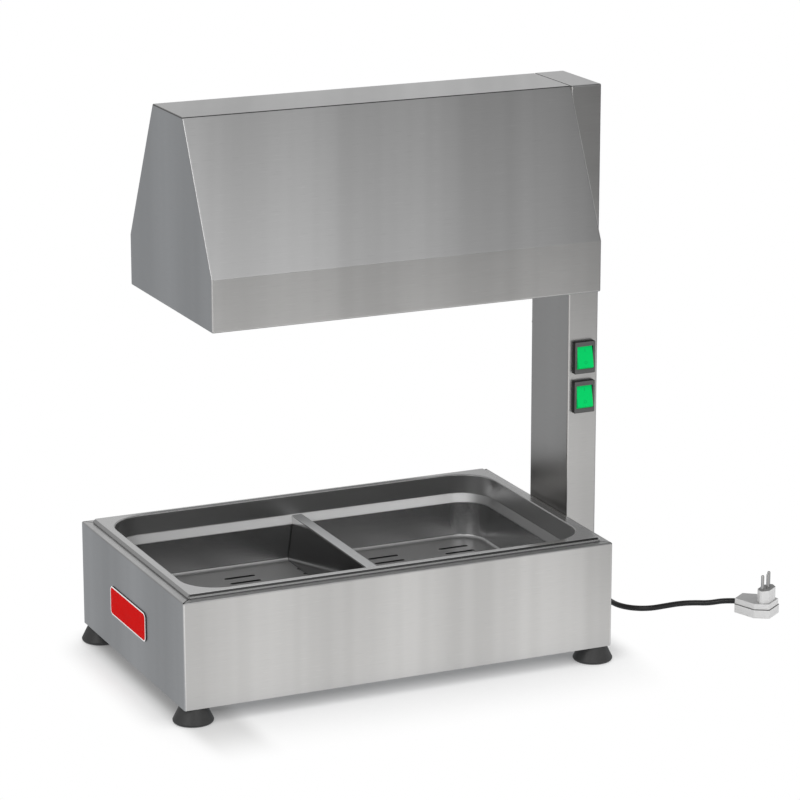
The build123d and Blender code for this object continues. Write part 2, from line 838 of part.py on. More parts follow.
with BuildPart() as earth_stud:
    with BuildSketch(facing_right(column_wall, stud_y, stud_z)):
        Circle(stud_diameter / 2)
    extrude(amount=stud_length)
    with BuildSketch(facing_right(column_wall, stud_y, stud_z)):
        RegularPolygon(stud_nut_width / 2, 6, major_radius=False)
    extrude(amount=stud_nut_height)
save(earth_stud.part, "earth_stud")

# Wiring inside hood and column
lead_level = wire_height + lead_rise
lead_gather = base_right - sheet - 2 * grommet_flange
for (side, lamp_x), lane, drop_y, switch_z in zip(
    lamp_positions, (-lead_side, lead_side), (lead_back_upper, lead_back_lower), switch_heights
):
    lead_end = switch_z + blade_pitch
    lead = tube(
        [
            (lamp_x, 0, nipple_top),
            (lamp_x, 0, lead_level),
            (lamp_x + lead_turn, lane, lead_level + lead_rise / 2),
            (lead_gather, lane, wire_height),
            (column_x, lane, wire_height),
            (column_x, drop_y, wire_height - lead_fall),
            (column_x, drop_y, lead_end),
            (column_x, blade_end, lead_end),
        ],
        lead_diameter,
    )
    save(lead, f"lamp_lead_{side}")

jumper_x = column_x + jumper_side
jumper_y = blade_end + 2 * blade_run
link_low = switch_lower
link_high = switch_upper - blade_pitch
switch_jumper = tube(
    [
        (column_x, blade_end, link_low),
        (column_x, blade_end + blade_run, link_low),
        (jumper_x, jumper_y, link_low + blade_run),
        (jumper_x, jumper_y, link_high - blade_run),
        (column_x, blade_end + blade_run, link_high),
        (column_x, blade_end, link_high),
    ],
    wire_diameter,
)
save(switch_jumper, "switch_jumper")

feed_end = switch_lower - blade_pitch
feed_rise = feed_end - block_top
switch_feed = tube(
    [
        (block_x, feed_y, block_top),
        (block_x, feed_y, block_top + 0.4 * feed_rise),
        (column_x, feed_y + feed_shift, block_top + 0.6 * feed_rise),
        (column_x, feed_y + feed_shift, feed_end),
        (column_x, blade_end, feed_end),
    ],
    wire_diameter,
)
save(switch_feed, "switch_feed")

stud_end = column_wall + stud_length
earth_start = block_bottom + earth_height
earth_wire = tube(
    [
        (block_x, block_front, earth_start),
        (block_x, block_front - earth_run, earth_start),
        (stud_end + earth_run, stud_y, earth_start - earth_fall),
        (stud_end + earth_run, stud_y, stud_z),
        (stud_end, stud_y, stud_z),
    ],
    earth_diameter,
)
save(earth_wire, "earth_wire")

# Cord gland through the back of the column, with its lock nut
gland_inside = column_back - column_sheet - gland_nut_height - bolt_overhang
gland_end = column_back + gland_flange_length + gland_taper_length
with BuildPart() as cord_gland:
    with BuildSketch(level(column_x, 0, gland_z)):
        with BuildLine():
            Polyline(
                (0, gland_inside), (gland_thread / 2, gland_inside), (gland_thread / 2, column_back),
                (gland_flange / 2, column_back), (gland_flange / 2, column_back + gland_flange_length),
                (gland_taper_start / 2, column_back + gland_flange_length),
                (gland_taper_end / 2, gland_end), (0, gland_end),
                close=True,
            )
        make_face()
    revolve(axis=Axis((column_x, 0, gland_z), (0, 1, 0)))
save(cord_gland.part, "cord_gland")
gland_nut = hex_nuts(
    facing_front(column_x, column_back - column_sheet, gland_z), [(0, 0)],
    gland_thread, gland_nut_width, gland_nut_height,
)
save(gland_nut, "gland_nut")

supply_tail = tube(
    [
        (column_x, gland_inside, gland_z),
        (column_x, gland_inside - tail_run, gland_z),
        (block_x, 0, block_bottom - tail_rise),
        (block_x, 0, block_bottom),
    ],
    cord_diameter,
)
save(supply_tail, "supply_tail")

# Mains cord: out at the back, down to the table, round to the right and forward to the plug
plug_origin = Vector(column_x + plug_x - column_width / 2, plug_y, 0)
plug_axis = Vector(math.cos(math.radians(plug_angle)), math.sin(math.radians(plug_angle)), 0)
plug_mouth = plug_origin + Vector(0, 0, plug_seam)
plug_run = plug_mouth - plug_axis * 20
cord_bends = [
    (28, 118, 33), (47, 132, 22.5), (70, 132, 12), (89, 118, 5),
    (100, 97, cord_rest), (102.5, 73, cord_rest), (101.5, 48, cord_rest), (100, 24, cord_rest),
    (101.2, 0.5, cord_rest), (112.7, -17.6, cord_rest), (132.2, -27.4, cord_rest), (155, -26.2, cord_rest),
    (176, -25.6, cord_rest), (193.5, -29.8, cord_rest), (208.5, -40, 5.8),
]
cord_points = [(column_x, gland_end, gland_z), (column_x, gland_end + 20, gland_z)]
for right, back, height in cord_bends:
    cord_points.append((base_right + right, back, height))
cord_points.append((plug_run.X, plug_run.Y, plug_run.Z))
cord_points.append((plug_mouth.X, plug_mouth.Y, plug_mouth.Z))
power_cord = tube(cord_points, cord_diameter)
save(power_cord, "power_cord")
cord_section = math.pi * cord_diameter**2 / 4
cord_length = power_cord.volume / cord_section
print("cord bends", [round(radius, 1) for radius in corner_radii(cord_points)])
print("cord length", round(cord_length, 1))

# Plug lying on its back, two half shells and the pins
plug_plane = Plane(origin=plug_origin, x_dir=plug_axis, z_dir=(0, 0, 1))


def plug_outline(inset):
    """Corners of the plug in plan, from the cord entry to the far end."""
    entry = plug_entry / 2 - inset
    wide = plug_width / 2 - inset
    end = plug_end / 2 - inset
    return (
        (0, -entry), (plug_widest, -wide), (plug_length - inset, -end),
        (plug_length - inset, end), (plug_widest, wide), (0, entry),
    )


def plug_room(top, bottom):
    """The hollow inside the plug between two heights."""
    with BuildPart() as room:
        with BuildSketch(plug_plane.offset(bottom)):
            with BuildLine():
                Polyline(*plug_outline(plug_inset), close=True)
            make_face()
            offset(amount=-plug_wall, kind=Kind.INTERSECTION, mode=Mode.REPLACE)
        extrude(amount=top - bottom)
    return room.part


base_room = plug_room(plug_seam, plug_wall)
top_room = plug_room(plug_height - plug_wall, plug_seam)

with BuildPart() as plug_base:
    with BuildSketch(plug_plane):
        with BuildLine():
            Polyline(*plug_outline(0), close=True)
        make_face()
        fillet(vertices(), radius=bend_radius)
    extrude(amount=plug_seam)
    add(base_room, mode=Mode.SUBTRACT)
save(plug_base.part, "plug_base")

boss_top = plug_height + boss_height
boss_side = boss_length / 2 - boss_taper
boss_near = boss_centre - boss_width / 2
boss_far = boss_centre + boss_width / 2
boss_outline = (
    (boss_near, -boss_side), (boss_centre - boss_point / 2, -boss_length / 2),
    (boss_centre + boss_point / 2, -boss_length / 2), (boss_far, -boss_side),
    (boss_far, boss_side), (boss_centre + boss_point / 2, boss_length / 2),
    (boss_centre - boss_point / 2, boss_length / 2), (boss_near, boss_side),
)
pin_bottom = boss_top - pin_root
pin_points = [
    (boss_centre - pin_middle / 2, -pin_spacing / 2),
    (boss_centre + pin_middle / 2, 0),
    (boss_centre - pin_middle / 2, pin_spacing / 2),
]
with BuildPart() as plug_top:
    with BuildSketch(plug_plane.offset(plug_seam)):
        with BuildLine():
            Polyline(*plug_outline(plug_inset), close=True)
        make_face()
        fillet(vertices(), radius=bend_radius)
    extrude(amount=plug_height - plug_seam)
    fillet(plug_top.faces().sort_by(Axis.Z)[-1].edges(), radius=1.0)
    with BuildSketch(plug_plane.offset(plug_height)):
        with BuildLine():
            Polyline(*boss_outline, close=True)
        make_face()
    extrude(amount=boss_height)
    add(top_room, mode=Mode.SUBTRACT)
    with BuildSketch(plug_plane.offset(boss_top)):
        with Locations(*pin_points):
            Circle(pin_diameter / 2 + pin_play)
    extrude(amount=-pin_root, mode=Mode.SUBTRACT)
save(plug_top.part, "plug_top")

with BuildPart() as plug_pins:
    with BuildSketch(plug_plane.offset(pin_bottom)):
        with Locations(*pin_points):
            Circle(pin_diameter / 2)
    extrude(amount=pin_root + pin_length)
    fillet(plug_pins.faces().group_by(Axis.Z)[-1].edges(), radius=pin_diameter / 2 - 0.3)
save(plug_pins.part, "plug_pins")
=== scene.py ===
# %% [markdown]
# A fry warmer stands on a counter: a low box holds a food pan, a column at one side
# carries a hood, and two lamps under the hood keep the food warm. The solids come from
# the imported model. This script only dresses them: camera, light, finishes, and the few
# small pieces that are better made here. Everything is in metres, Z up, front along -Y.

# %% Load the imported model
import json
from math import cos, pi, radians, sin

import bpy
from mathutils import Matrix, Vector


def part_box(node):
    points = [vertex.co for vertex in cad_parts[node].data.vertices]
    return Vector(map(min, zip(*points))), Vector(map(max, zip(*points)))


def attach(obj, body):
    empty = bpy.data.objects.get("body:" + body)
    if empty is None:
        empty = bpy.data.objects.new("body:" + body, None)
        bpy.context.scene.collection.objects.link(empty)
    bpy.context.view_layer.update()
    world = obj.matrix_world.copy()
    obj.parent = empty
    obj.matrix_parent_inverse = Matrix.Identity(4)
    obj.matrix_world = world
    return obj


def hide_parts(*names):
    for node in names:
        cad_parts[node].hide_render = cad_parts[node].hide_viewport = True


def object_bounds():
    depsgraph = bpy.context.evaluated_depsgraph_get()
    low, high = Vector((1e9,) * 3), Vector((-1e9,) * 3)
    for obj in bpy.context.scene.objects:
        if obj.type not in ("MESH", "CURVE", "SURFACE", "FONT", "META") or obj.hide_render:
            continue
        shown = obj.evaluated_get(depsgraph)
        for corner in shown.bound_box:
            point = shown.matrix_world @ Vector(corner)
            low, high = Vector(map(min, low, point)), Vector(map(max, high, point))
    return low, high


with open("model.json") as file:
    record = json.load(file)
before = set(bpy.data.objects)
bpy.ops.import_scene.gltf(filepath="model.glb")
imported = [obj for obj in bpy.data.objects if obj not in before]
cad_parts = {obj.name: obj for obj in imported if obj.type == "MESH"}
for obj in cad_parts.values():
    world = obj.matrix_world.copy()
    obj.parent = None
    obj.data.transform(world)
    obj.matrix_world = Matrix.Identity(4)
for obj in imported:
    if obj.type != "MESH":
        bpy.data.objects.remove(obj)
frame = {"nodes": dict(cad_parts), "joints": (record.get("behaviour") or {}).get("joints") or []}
nodes = frame["nodes"]
scene = bpy.context.scene
cad_low, cad_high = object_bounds()
print("nodes", len(nodes), "size", [round(v, 4) for v in cad_high - cad_low])

# %% [markdown]
# The camera stands where the photographer stood: to the left of the front, about
# fifteen degrees above the counter, far away with a long lens, so upright edges stay
# nearly parallel. Its place was solved from the corners of the base and the hood.

# %% Camera
looking_down, looking_right = 15.321, 24.441
camera_data = bpy.data.cameras.new("photo_camera")
camera_data.lens = 156.606
camera_data.sensor_width = 36
camera = bpy.data.objects.new("photo_camera", camera_data)
camera.location = (-1.61638, -3.68287, 1.41507)
camera.rotation_euler = (radians(90 - looking_down), 0, radians(-looking_right))
scene.collection.objects.link(camera)
scene.camera = camera
scene.view_settings.view_transform = "Standard"
print("camera", tuple(round(v, 3) for v in camera.location))

# %% [markdown]
# The supply lead is a round rubber cable. It leaves a gland low at the back of the
# column, drops to the counter, comes round to the right and ends in a flat plug. A NURBS
# curve of order three pulls a smooth line from the few points of its route, as a real
# cable bends. The thickness is in the radius of the points, so that the box which
# Blender draws round the curve is the cable's own.

# %% Supply lead
lead_diameter = 0.007
lead_route = [
    (278.75, 77, 40), (278.75, 97, 40), (286.75, 118, 33), (305.75, 132, 22.5),
    (328.75, 132, 12), (347.75, 118, 5), (358.75, 97, 3.6), (361.25, 73, 3.6),
    (360.25, 48, 3.6), (358.75, 24, 3.6), (359.95, 0.5, 3.6), (371.45, -17.6, 3.6),
    (390.95, -27.4, 3.6), (413.75, -26.2, 3.6), (434.75, -25.6, 3.6),
    (452.25, -30.4, 3.6), (467.5, -41.4, 4.4), (484.3, -52.4, 9),
    (495.75, -66.8, 11),
]
lead_curve = bpy.data.curves.new("supply_lead", "CURVE")
lead_curve.dimensions = "3D"
lead_curve.bevel_depth = 1.0
lead_curve.bevel_resolution = 6
lead_curve.resolution_u = 10
lead_curve.use_fill_caps = True
spline = lead_curve.splines.new("NURBS")
spline.points.add(len(lead_route) - 1)
for point, (x, y, z) in zip(spline.points, lead_route):
    point.co = (x / 1000, y / 1000, z / 1000, 1)
    point.radius = lead_diameter / 2
spline.order_u = 3
spline.use_endpoint_u = True
lead = bpy.data.objects.new("supply_lead", lead_curve)
scene.collection.objects.link(lead)
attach(lead, "warmer")
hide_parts("power_cord")
print("lead points", len(lead_route))

# %% [markdown]
# Shader trees are easier to read when sums are written as one line each. These helpers
# add a node, fill its sockets with numbers or links, and give back what comes out of it.

# %% Node helpers
def fill(tree, node, values):
    for key, value in values.items():
        socket = node.inputs[key]
        if isinstance(value, bpy.types.NodeSocket):
            tree.links.new(value, socket)
        else:
            socket.default_value = value
    return node


def add_node(tree, kind, values=None, **settings):
    node = tree.nodes.new(kind)
    for key, value in settings.items():
        setattr(node, key, value)
    return fill(tree, node, values or {})


def sum_of(tree, operation, *values):
    sockets = dict(enumerate(values))
    return add_node(tree, "ShaderNodeMath", sockets, operation=operation).outputs[0]


def named_sum(operation):
    return lambda tree, *values: sum_of(tree, operation, *values)


both, less, over = map(named_sum, ("MULTIPLY", "SUBTRACT", "DIVIDE"))
above, below, larger = map(named_sum, ("GREATER_THAN", "LESS_THAN", "MAXIMUM"))
plus, times_plus, unsigned = map(named_sum, ("ADD", "MULTIPLY_ADD", "ABSOLUTE"))


def mix_numbers(tree, share, first, second):
    return add_node(tree, "ShaderNodeMix", {0: share, 2: first, 3: second}).outputs[0]


def mix(tree, share, first, second):
    sockets = {0: share, 6: first, 7: second}
    return add_node(tree, "ShaderNodeMix", sockets, data_type="RGBA").outputs[2]


def scaled(tree, colour, share):
    sockets = {0: colour, "Scale": share}
    return add_node(tree, "ShaderNodeVectorMath", sockets, operation="SCALE").outputs[0]


def split(tree, vector):
    return add_node(tree, "ShaderNodeSeparateXYZ", {0: vector}).outputs


def on_object(tree, what="Object"):
    return add_node(tree, "ShaderNodeTexCoord").outputs[what]


def noise(tree, vector, scale=1.0, detail=2.0, roughness=0.5):
    sockets = {"Vector": vector, "Scale": scale, "Detail": detail, "Roughness": roughness}
    return add_node(tree, "ShaderNodeTexNoise", sockets).outputs["Fac"]


print("node helpers ready")

# %% [markdown]
# A second set turns places and directions on a piece into masks between nought and one,
# and measures distances for them.

# %% Mask helpers
def place_of(tree):
    return split(tree, on_object(tree))


def normal_of(tree):
    return split(tree, on_object(tree, "Normal"))


def ramp(tree, value, low, high, at_low=0.0, at_high=1.0, kind="SMOOTHSTEP"):
    sockets = {"Value": value, "From Min": low, "From Max": high,
               "To Min": at_low, "To Max": at_high}
    made = add_node(tree, "ShaderNodeMapRange", sockets, interpolation_type=kind)
    return made.outputs["Result"]


def between(tree, value, low, high, soft=0.0008):
    started = ramp(tree, value, low - soft, low)
    return both(tree, started, ramp(tree, value, high, high + soft, 1.0, 0.0))


def inwards_from(tree, value, low, high):
    off_middle = unsigned(tree, less(tree, value, (low + high) / 2))
    return less(tree, (high - low) / 2, off_middle)


def outwards_of(tree, low, high):
    place, normal = place_of(tree), normal_of(tree)
    from_middle = less(tree, place["X"], (low[0] + high[0]) / 2)
    return times_plus(tree, from_middle, normal["X"], both(tree, place["Y"], normal["Y"]))


def length_of(tree, a, b):
    squares = plus(tree, both(tree, a, a), both(tree, b, b))
    return sum_of(tree, "SQRT", squares)


print("mask helpers ready")

# %% [markdown]
# A product shot like this has a white surround and soft light from all sides. The floor
# is one large sheet, a hair below the feet.

# %% Floor
square = ((-1, -1), (1, -1), (1, 1), (-1, 1))
floor_reach, floor_drop = 15.0, 0.0002
floor_mesh = bpy.data.meshes.new("floor")
floor_mesh.from_pydata(
    [(u * floor_reach, w * floor_reach, 0) for u, w in square], [], [(0, 1, 2, 3)])
floor = bpy.data.objects.new("floor", floor_mesh)
floor.location = (0, 0, -floor_drop)
scene.collection.objects.link(floor)
print("floor reach", floor_reach)

# %% [markdown]
# The floor is white to the camera and plain matt near the warmer, so that it catches the
# soft shadow. The white comes in by steps: a little of it under the base, more of it in
# front, and all of it a hand's breadth away. Along the left side, where little light gets
# in under the base, a strip of the matt floor is painted darker as painted shadow.

# %% Shadow on the floor
base_low, base_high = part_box("base_casing")
shadow_left, shadow_right, shadow_front, shadow_back = 0.072, 0.055, 0.175, 0.11
inset_left, inset_front, inset_back = 0.016, 0.040, 0.070
shadow_core = 0.3
white_under, white_before, white_rise = 0.11, 0.42, 0.044
strip_start, strip_end, strip_soft = 0.015, 0.055, 0.03
# The second grey is a painted shadow for the strip along the left side.
matt_white, painted_shadow_grey = (0.94, 0.94, 0.94, 1), (0.52, 0.515, 0.51, 1)


def emptied(owner):
    owner.use_nodes = True
    owner.node_tree.nodes.clear()
    return owner.node_tree


def past_edges(tree, value, low, high, reach_low, reach_high):
    low_side = over(tree, less(tree, low, value), reach_low)
    high_side = over(tree, less(tree, value, high), reach_high)
    return larger(tree, larger(tree, low_side, high_side), 0.0)


def seen_directly(tree, path):
    return larger(tree, path["Is Camera Ray"], path["Is Transmission Ray"])


floor_finish = bpy.data.materials.new("pale_floor")
tree = emptied(floor_finish)
place = place_of(tree)
x, y = place["X"], place["Y"]
path = add_node(tree, "ShaderNodeLightPath").outputs
# Painted shadow: a strip of the matt floor along the base's left side is painted darker.
strip = between(tree, x, base_low[0] + strip_start, base_low[0] + strip_end, strip_soft)
matt = add_node(tree, "ShaderNodeBsdfDiffuse", {
    "Color": mix(tree, strip, matt_white, painted_shadow_grey)})
white = add_node(tree, "ShaderNodeEmission", {"Color": (1, 1, 1, 1), "Strength": 1.0})
fade_left, fade_right = base_low[0] + inset_left, base_high[0]
fade_front, fade_back = base_low[1] + inset_front, base_high[1] - inset_back
past_side = past_edges(tree, x, fade_left, fade_right, shadow_left, shadow_right)
past_depth = past_edges(tree, y, fade_front, fade_back, shadow_front, shadow_back)
far_off = ramp(tree, length_of(tree, past_side, past_depth), shadow_core, 1.0)
near_white = ramp(tree, y, fade_front, fade_front - white_rise,
                  white_under, white_before, "LINEAR")
white_share = mix_numbers(tree, far_off, near_white, 1.0)
seen = add_node(tree, "ShaderNodeMixShader", {
    0: both(tree, white_share, seen_directly(tree, path)),
    1: matt.outputs[0], 2: white.outputs[0]})
print("shadow reach", shadow_left, shadow_right, shadow_front, shadow_back)

# %% [markdown]
# Steel shows whatever it faces, so what mirror rays meet matters more than the lamps. To
# them the floor glows: brightest just in front of the warmer, greyer further off and
# behind, and dimmer at the right, where the column faces it. That gives the front its
# light face and the left sides their darker one. Its tone is warm in front and cool behind.

# %% Floor as the steel sees it
front_edge = (-0.15, -0.24)
left_shift, left_soft = 0.10, 0.05
away_x, away_y = 0.4375, 0.363
front_range, front_glow = (0.50, 1.35), (0.97, 0.15)
shade_x, shade_y, shade_depth = (0.38, 0.48), (-0.80, -0.45), 0.50
back_range, back_glow = (0.75, 1.2), (0.41, 0.7)
cool_tone, warm_tone = (0.97, 1.0, 1.035, 1), (1.012, 1.0, 0.98, 1)

beside_left = ramp(tree, x, base_low[0], base_low[0] - left_soft, 0.0, left_shift)
front = ramp(tree, plus(tree, y, beside_left), *front_edge)
outwards = less(tree, both(tree, x, away_x), both(tree, y, away_y))
front_light = ramp(tree, outwards, *front_range, *front_glow)
column_shade = both(tree, ramp(tree, x, *shade_x), ramp(tree, y, *shade_y, 0.0, shade_depth))
front_light = less(tree, front_light, column_shade)
back_light = ramp(tree, x, *back_range, *back_glow)
mirrored = add_node(tree, "ShaderNodeEmission", {
    "Color": mix(tree, front, cool_tone, warm_tone),
    "Strength": mix_numbers(tree, front, back_light, front_light)})
whole = add_node(tree, "ShaderNodeMixShader", {
    0: path["Is Glossy Ray"], 1: seen.outputs[0], 2: mirrored.outputs[0]})
add_node(tree, "ShaderNodeOutputMaterial", {"Surface": whole.outputs[0]})
floor.data.materials.append(floor_finish)
print("floor glow in front", front_glow, "behind", back_glow)

# %% [markdown]
# The sky is a plain white surround, and a soft fill light to everything matt. To mirror
# rays it is a room: dimmer at the back left than at the back right, a little lighter
# higher up, with one dim corner, and dim again overhead, as a studio is above its
# backdrop. All of it is worked out from the direction that a ray goes.

# %% Sky
fill_level, front_level, back_levels, back_limit = 0.86, 0.46, (0.32, 0.65), 0.75
side_range, back_edge = (-0.15, 0.2), (0.1, -0.1)
lift_range, lift = (0.28, 0.40), 0.17
corner_x, corner_z, corner_dim = (0.32, 0.44), (0.24, 0.29), 0.42
overhead_range, overhead_level = (0.55, 0.80), 0.40

world = bpy.data.worlds.new("studio")
scene.world = world
tree = emptied(world)
path = add_node(tree, "ShaderNodeLightPath").outputs
towards = split(tree, on_object(tree, "Generated"))
back_level = ramp(tree, towards["X"], *side_range, *back_levels)
higher = ramp(tree, towards["Z"], *lift_range, 0.0, lift)
back_level = sum_of(tree, "MINIMUM", plus(tree, back_level, higher), back_limit)
dim_corner = both(tree, ramp(tree, towards["X"], *corner_x, 0.0, corner_dim),
                  ramp(tree, towards["Z"], *corner_z))
back_level = both(tree, back_level, less(tree, 1.0, dim_corner))
at_front = ramp(tree, towards["Y"], *back_edge)
horizon = mix_numbers(tree, at_front, back_level, front_level)
overhead = ramp(tree, towards["Z"], *overhead_range, 1.0, overhead_level)
level = mix_numbers(tree, path["Is Glossy Ray"], fill_level, both(tree, horizon, overhead))
level = mix_numbers(tree, seen_directly(tree, path), level, 1.0)
sky = add_node(tree, "ShaderNodeBackground", {"Color": (1, 1, 1, 1), "Strength": level})
add_node(tree, "ShaderNodeOutputWorld", {"Surface": sky.outputs[0]})
print("sky", world.name, "fill level", fill_level)

# %% [markdown]
# Three wide soft lamps add a little direction, enough for highlights on rubber and
# plastic and for the shadow to lean to the right. None of them is strong. The one overhead
# is kept out of mirror rays, because the hood's top would show it as a patch.

# %% Lamps
def lamp(name, place, aim, width, power):
    data = bpy.data.lights.new(name, "AREA")
    data.shape = "SQUARE"
    data.size = width
    data.energy = power
    made = bpy.data.objects.new(name, data)
    made.location = place
    direction = aim - made.location
    made.rotation_euler = direction.to_track_quat("-Z", "Y").to_euler()
    scene.collection.objects.link(made)
    return made


middle = (cad_low + cad_high) / 2
lamp("overhead_lamp", (-0.3, -0.2, 3.0), middle, 3.0, 16).visible_glossy = False
lamp("left_lamp", (-2.6, -1.6, 2.2), middle, 2.0, 19)
lamp("right_lamp", (2.6, -0.6, 2.0), middle, 1.6, 4)

# %% [markdown]
# The hood's slope is light at its left end and grey at the column. A photographer gets
# that with a graded card: a large sheet, bright on one side and dark on the other, held
# where the slope mirrors it. This card is met by mirror rays alone, so it lights nothing
# and casts no shadow.

# %% Graded card for the hood's slope
card_middle = (0.45, -0.90, 1.18)
card_across, card_up = 1.1, 0.55
card_turn = (0.88, 0.47)
card_lean = radians(32.3)
grade_x, grade_across = (-0.15, 0.97), (1.31, 0.0)
grade_half, grade_upwards = 0.425, (1.6, 0.4)

lean = sin(card_lean) * card_up, cos(card_lean) * card_up
corners = []
for side, rise in square:
    corners.append((card_middle[0] + side * card_across * card_turn[0],
                    card_middle[1] + side * card_across * card_turn[1] + rise * lean[0],
                    card_middle[2] + rise * lean[1]))
card_mesh = bpy.data.meshes.new("graded_card")
card_mesh.from_pydata(corners, [], [(3, 2, 1, 0)])
card = bpy.data.objects.new("graded_card", card_mesh)
scene.collection.objects.link(card)
for ray in ("camera", "diffuse", "transmission", "shadow", "volume_scatter"):
    setattr(card, f"visible_{ray}", False)
card_finish = bpy.data.materials.new("graded_card")
tree = emptied(card_finish)
place = place_of(tree)
across = ramp(tree, place["X"], *grade_x, *grade_across, "LINEAR")
upwards = ramp(tree, place["Z"], card_middle[2] - grade_half,
               card_middle[2] + grade_half, *grade_upwards, "LINEAR")
glow = add_node(tree, "ShaderNodeEmission", {
    "Color": (1, 1, 1, 1), "Strength": both(tree, across, upwards)})
add_node(tree, "ShaderNodeOutputMaterial", {"Surface": glow.outputs[0]})
card.data.materials.append(card_finish)
print("card corners", [tuple(round(v, 2) for v in c) for c in corners])

# %% [markdown]
# Several finishes change with the way a face points: brushing runs level on upright
# faces, and a pan's walls are darker than its shoulder. This group turns the surface's own
# direction into masks, so that each finish can ask for the faces it means.

# %% Face direction group
def new_group(name, inputs, outputs):
    group = bpy.data.node_groups.new(name, "ShaderNodeTree")
    number = "NodeSocketFloat"
    for label, value in inputs.items():
        socket = group.interface.new_socket(label, in_out="INPUT", socket_type=number)
        socket.default_value = value
    for label in outputs:
        group.interface.new_socket(label, in_out="OUTPUT", socket_type=number)
    given = group.nodes.new("NodeGroupInput").outputs
    return group, given, group.nodes.new("NodeGroupOutput")


def use_group(tree, group, **values):
    sockets = {k.replace("_", " "): v for k, v in values.items()}
    return add_node(tree, "ShaderNodeGroup", sockets, node_tree=group).outputs


face_direction, given, result = new_group(
    "face_direction", {},
    ["Sideways", "Upright", "Flat", "To Left", "To Right", "To Front"])
tree = face_direction
normal = normal_of(tree)
steepness = unsigned(tree, normal["Z"])
fill(tree, result, {
    "Sideways": above(tree, unsigned(tree, normal["X"]), 0.7),
    "Upright": ramp(tree, steepness, 0.25, 0.5, 1.0, 0.0),
    "Flat": ramp(tree, steepness, 0.75, 0.9),
    "To Left": ramp(tree, normal["X"], -0.4, -0.8),
    "To Right": ramp(tree, normal["X"], 0.4, 0.8),
    "To Front": ramp(tree, normal["Y"], -0.4, -0.8),
})


def faces_of(tree):
    return use_group(tree, face_direction)


print("group", face_direction.name)

# %% [markdown]
# Rolled and brushed stainless sheet shows three things: hair-fine lines along the
# rolling direction, short flecks where the belt bit deeper, and broad soft bands across
# it, where the light is caught a little more or less. One shader group makes them all
# for every steel piece, from stretched noise and a slow wave, so that lines run level on
# upright faces and lengthwise on flat ones. Each noise has its own depth, so that no two
# of them rise and fall together.

# %% Brushed sheet group
band_lean = -0.45
wander_depth, line_depth, narrow_depth, fleck_depth = 3.0, 0.0, 7.0, 11.0
narrow_swing, band_swing = 0.28, -0.46

brushing, given, result = new_group(
    "brushed_sheet",
    {"Lines per Metre": 900.0, "Band Length": 0.183, "Band Start": 0.2588},
    ["Bands", "Lines", "Flecks", "Smudges"],
)
tree = brushing
place = place_of(tree)
faces = faces_of(tree)
behind_front = less(tree, place["Y"], base_low[1])
leant = times_plus(tree, behind_front, band_lean, place["X"])
along = mix_numbers(tree, faces["Sideways"], leant, place["Y"])
across = mix_numbers(tree, faces["Flat"], place["Z"], place["Y"])


def stretched(along_scale, across_scale, depth, **settings):
    vector = add_node(tree, "ShaderNodeCombineXYZ", {
        "X": both(tree, along, along_scale), "Y": both(tree, across, across_scale), "Z": depth})
    return noise(tree, vector.outputs[0], **settings)


turn = over(tree, less(tree, along, given["Band Start"]), given["Band Length"])
wander = stretched(9.0, 0.8, wander_depth, detail=1.0)
turn = plus(tree, turn, times_plus(tree, wander, 0.5, -0.25))
swing = sum_of(tree, "COSINE", both(tree, turn, 2 * pi))
lines = stretched(14.0, given["Lines per Metre"], line_depth, detail=3.0, roughness=0.7)
narrow = stretched(34.0, 0.7, narrow_depth, detail=1.0)
narrow = ramp(tree, narrow, 0.30, 0.70, -narrow_swing, narrow_swing)
narrow = both(tree, narrow, mix_numbers(tree, faces["Sideways"], 1.0, 0.5))
bands = plus(tree, times_plus(tree, swing, band_swing, 0.5), narrow)
bite = stretched(60.0, 700.0, fleck_depth, detail=0.0)
flecks = less(tree, ramp(tree, bite, 0.70, 0.80), ramp(tree, bite, 0.29, 0.19))
smudges = noise(tree, on_object(tree), scale=11.0, detail=4.0, roughness=0.6)
fill(tree, result, {"Bands": bands, "Lines": lines, "Flecks": flecks, "Smudges": smudges})
print("group", brushing.name)

# %% [markdown]
# Every steel finish is the brushed sheet with its own lightness and gloss. A finish can
# hand in a function for zones, which recolours part of the piece before the fine lines
# go over it, so that painted shade or a painted highlight is brushed like the rest.

# %% Steel from the brushed sheet
bump_depth = 0.0002


def new_finish(name, **sockets):
    made = bpy.data.materials.new(name)
    made.use_nodes = True
    shader = made.node_tree.nodes["Principled BSDF"]
    for key, value in sockets.items():
        shader.inputs[key.replace("_", " ")].default_value = value
    return made, made.node_tree, shader


def add_bump(tree, shader, height, strength):
    sockets = {"Height": height, "Strength": strength, "Distance": bump_depth}
    bump = add_node(tree, "ShaderNodeBump", sockets)
    tree.links.new(bump.outputs[0], shader.inputs["Normal"])


def grey(level, warm=0.0):
    return (level * (1 + warm), level, level * (1 - warm), 1)


def steel(name, light, dark, roughness, lines=420.0, band=0.183, line_share=0.08,
          bump=0.15, zones=None):
    made, tree, shader = new_finish(name, Metallic=1.0)
    sheet = use_group(tree, brushing, Lines_per_Metre=lines, Band_Length=band)
    colour = mix(tree, sheet["Bands"], dark, light)
    rough = times_plus(tree, sheet["Lines"], 0.10, roughness - 0.05)
    if zones:
        colour, rough = zones(tree, colour, rough)
    grain = times_plus(tree, sheet["Lines"], line_share, 1 - line_share / 2)
    grain = times_plus(tree, sheet["Flecks"], line_share / 2, grain)
    rough = times_plus(tree, sheet["Smudges"], 0.06, less(tree, rough, 0.03))
    fill(tree, shader, {"Base Color": scaled(tree, colour, grain), "Roughness": rough})
    add_bump(tree, shader, sheet["Lines"], bump)
    return made


def set_metal(finish, share):
    shader = finish.node_tree.nodes["Principled BSDF"]
    finish.node_tree.links.new(share, shader.inputs["Metallic"])


print("steel ready, bump depth", bump_depth)
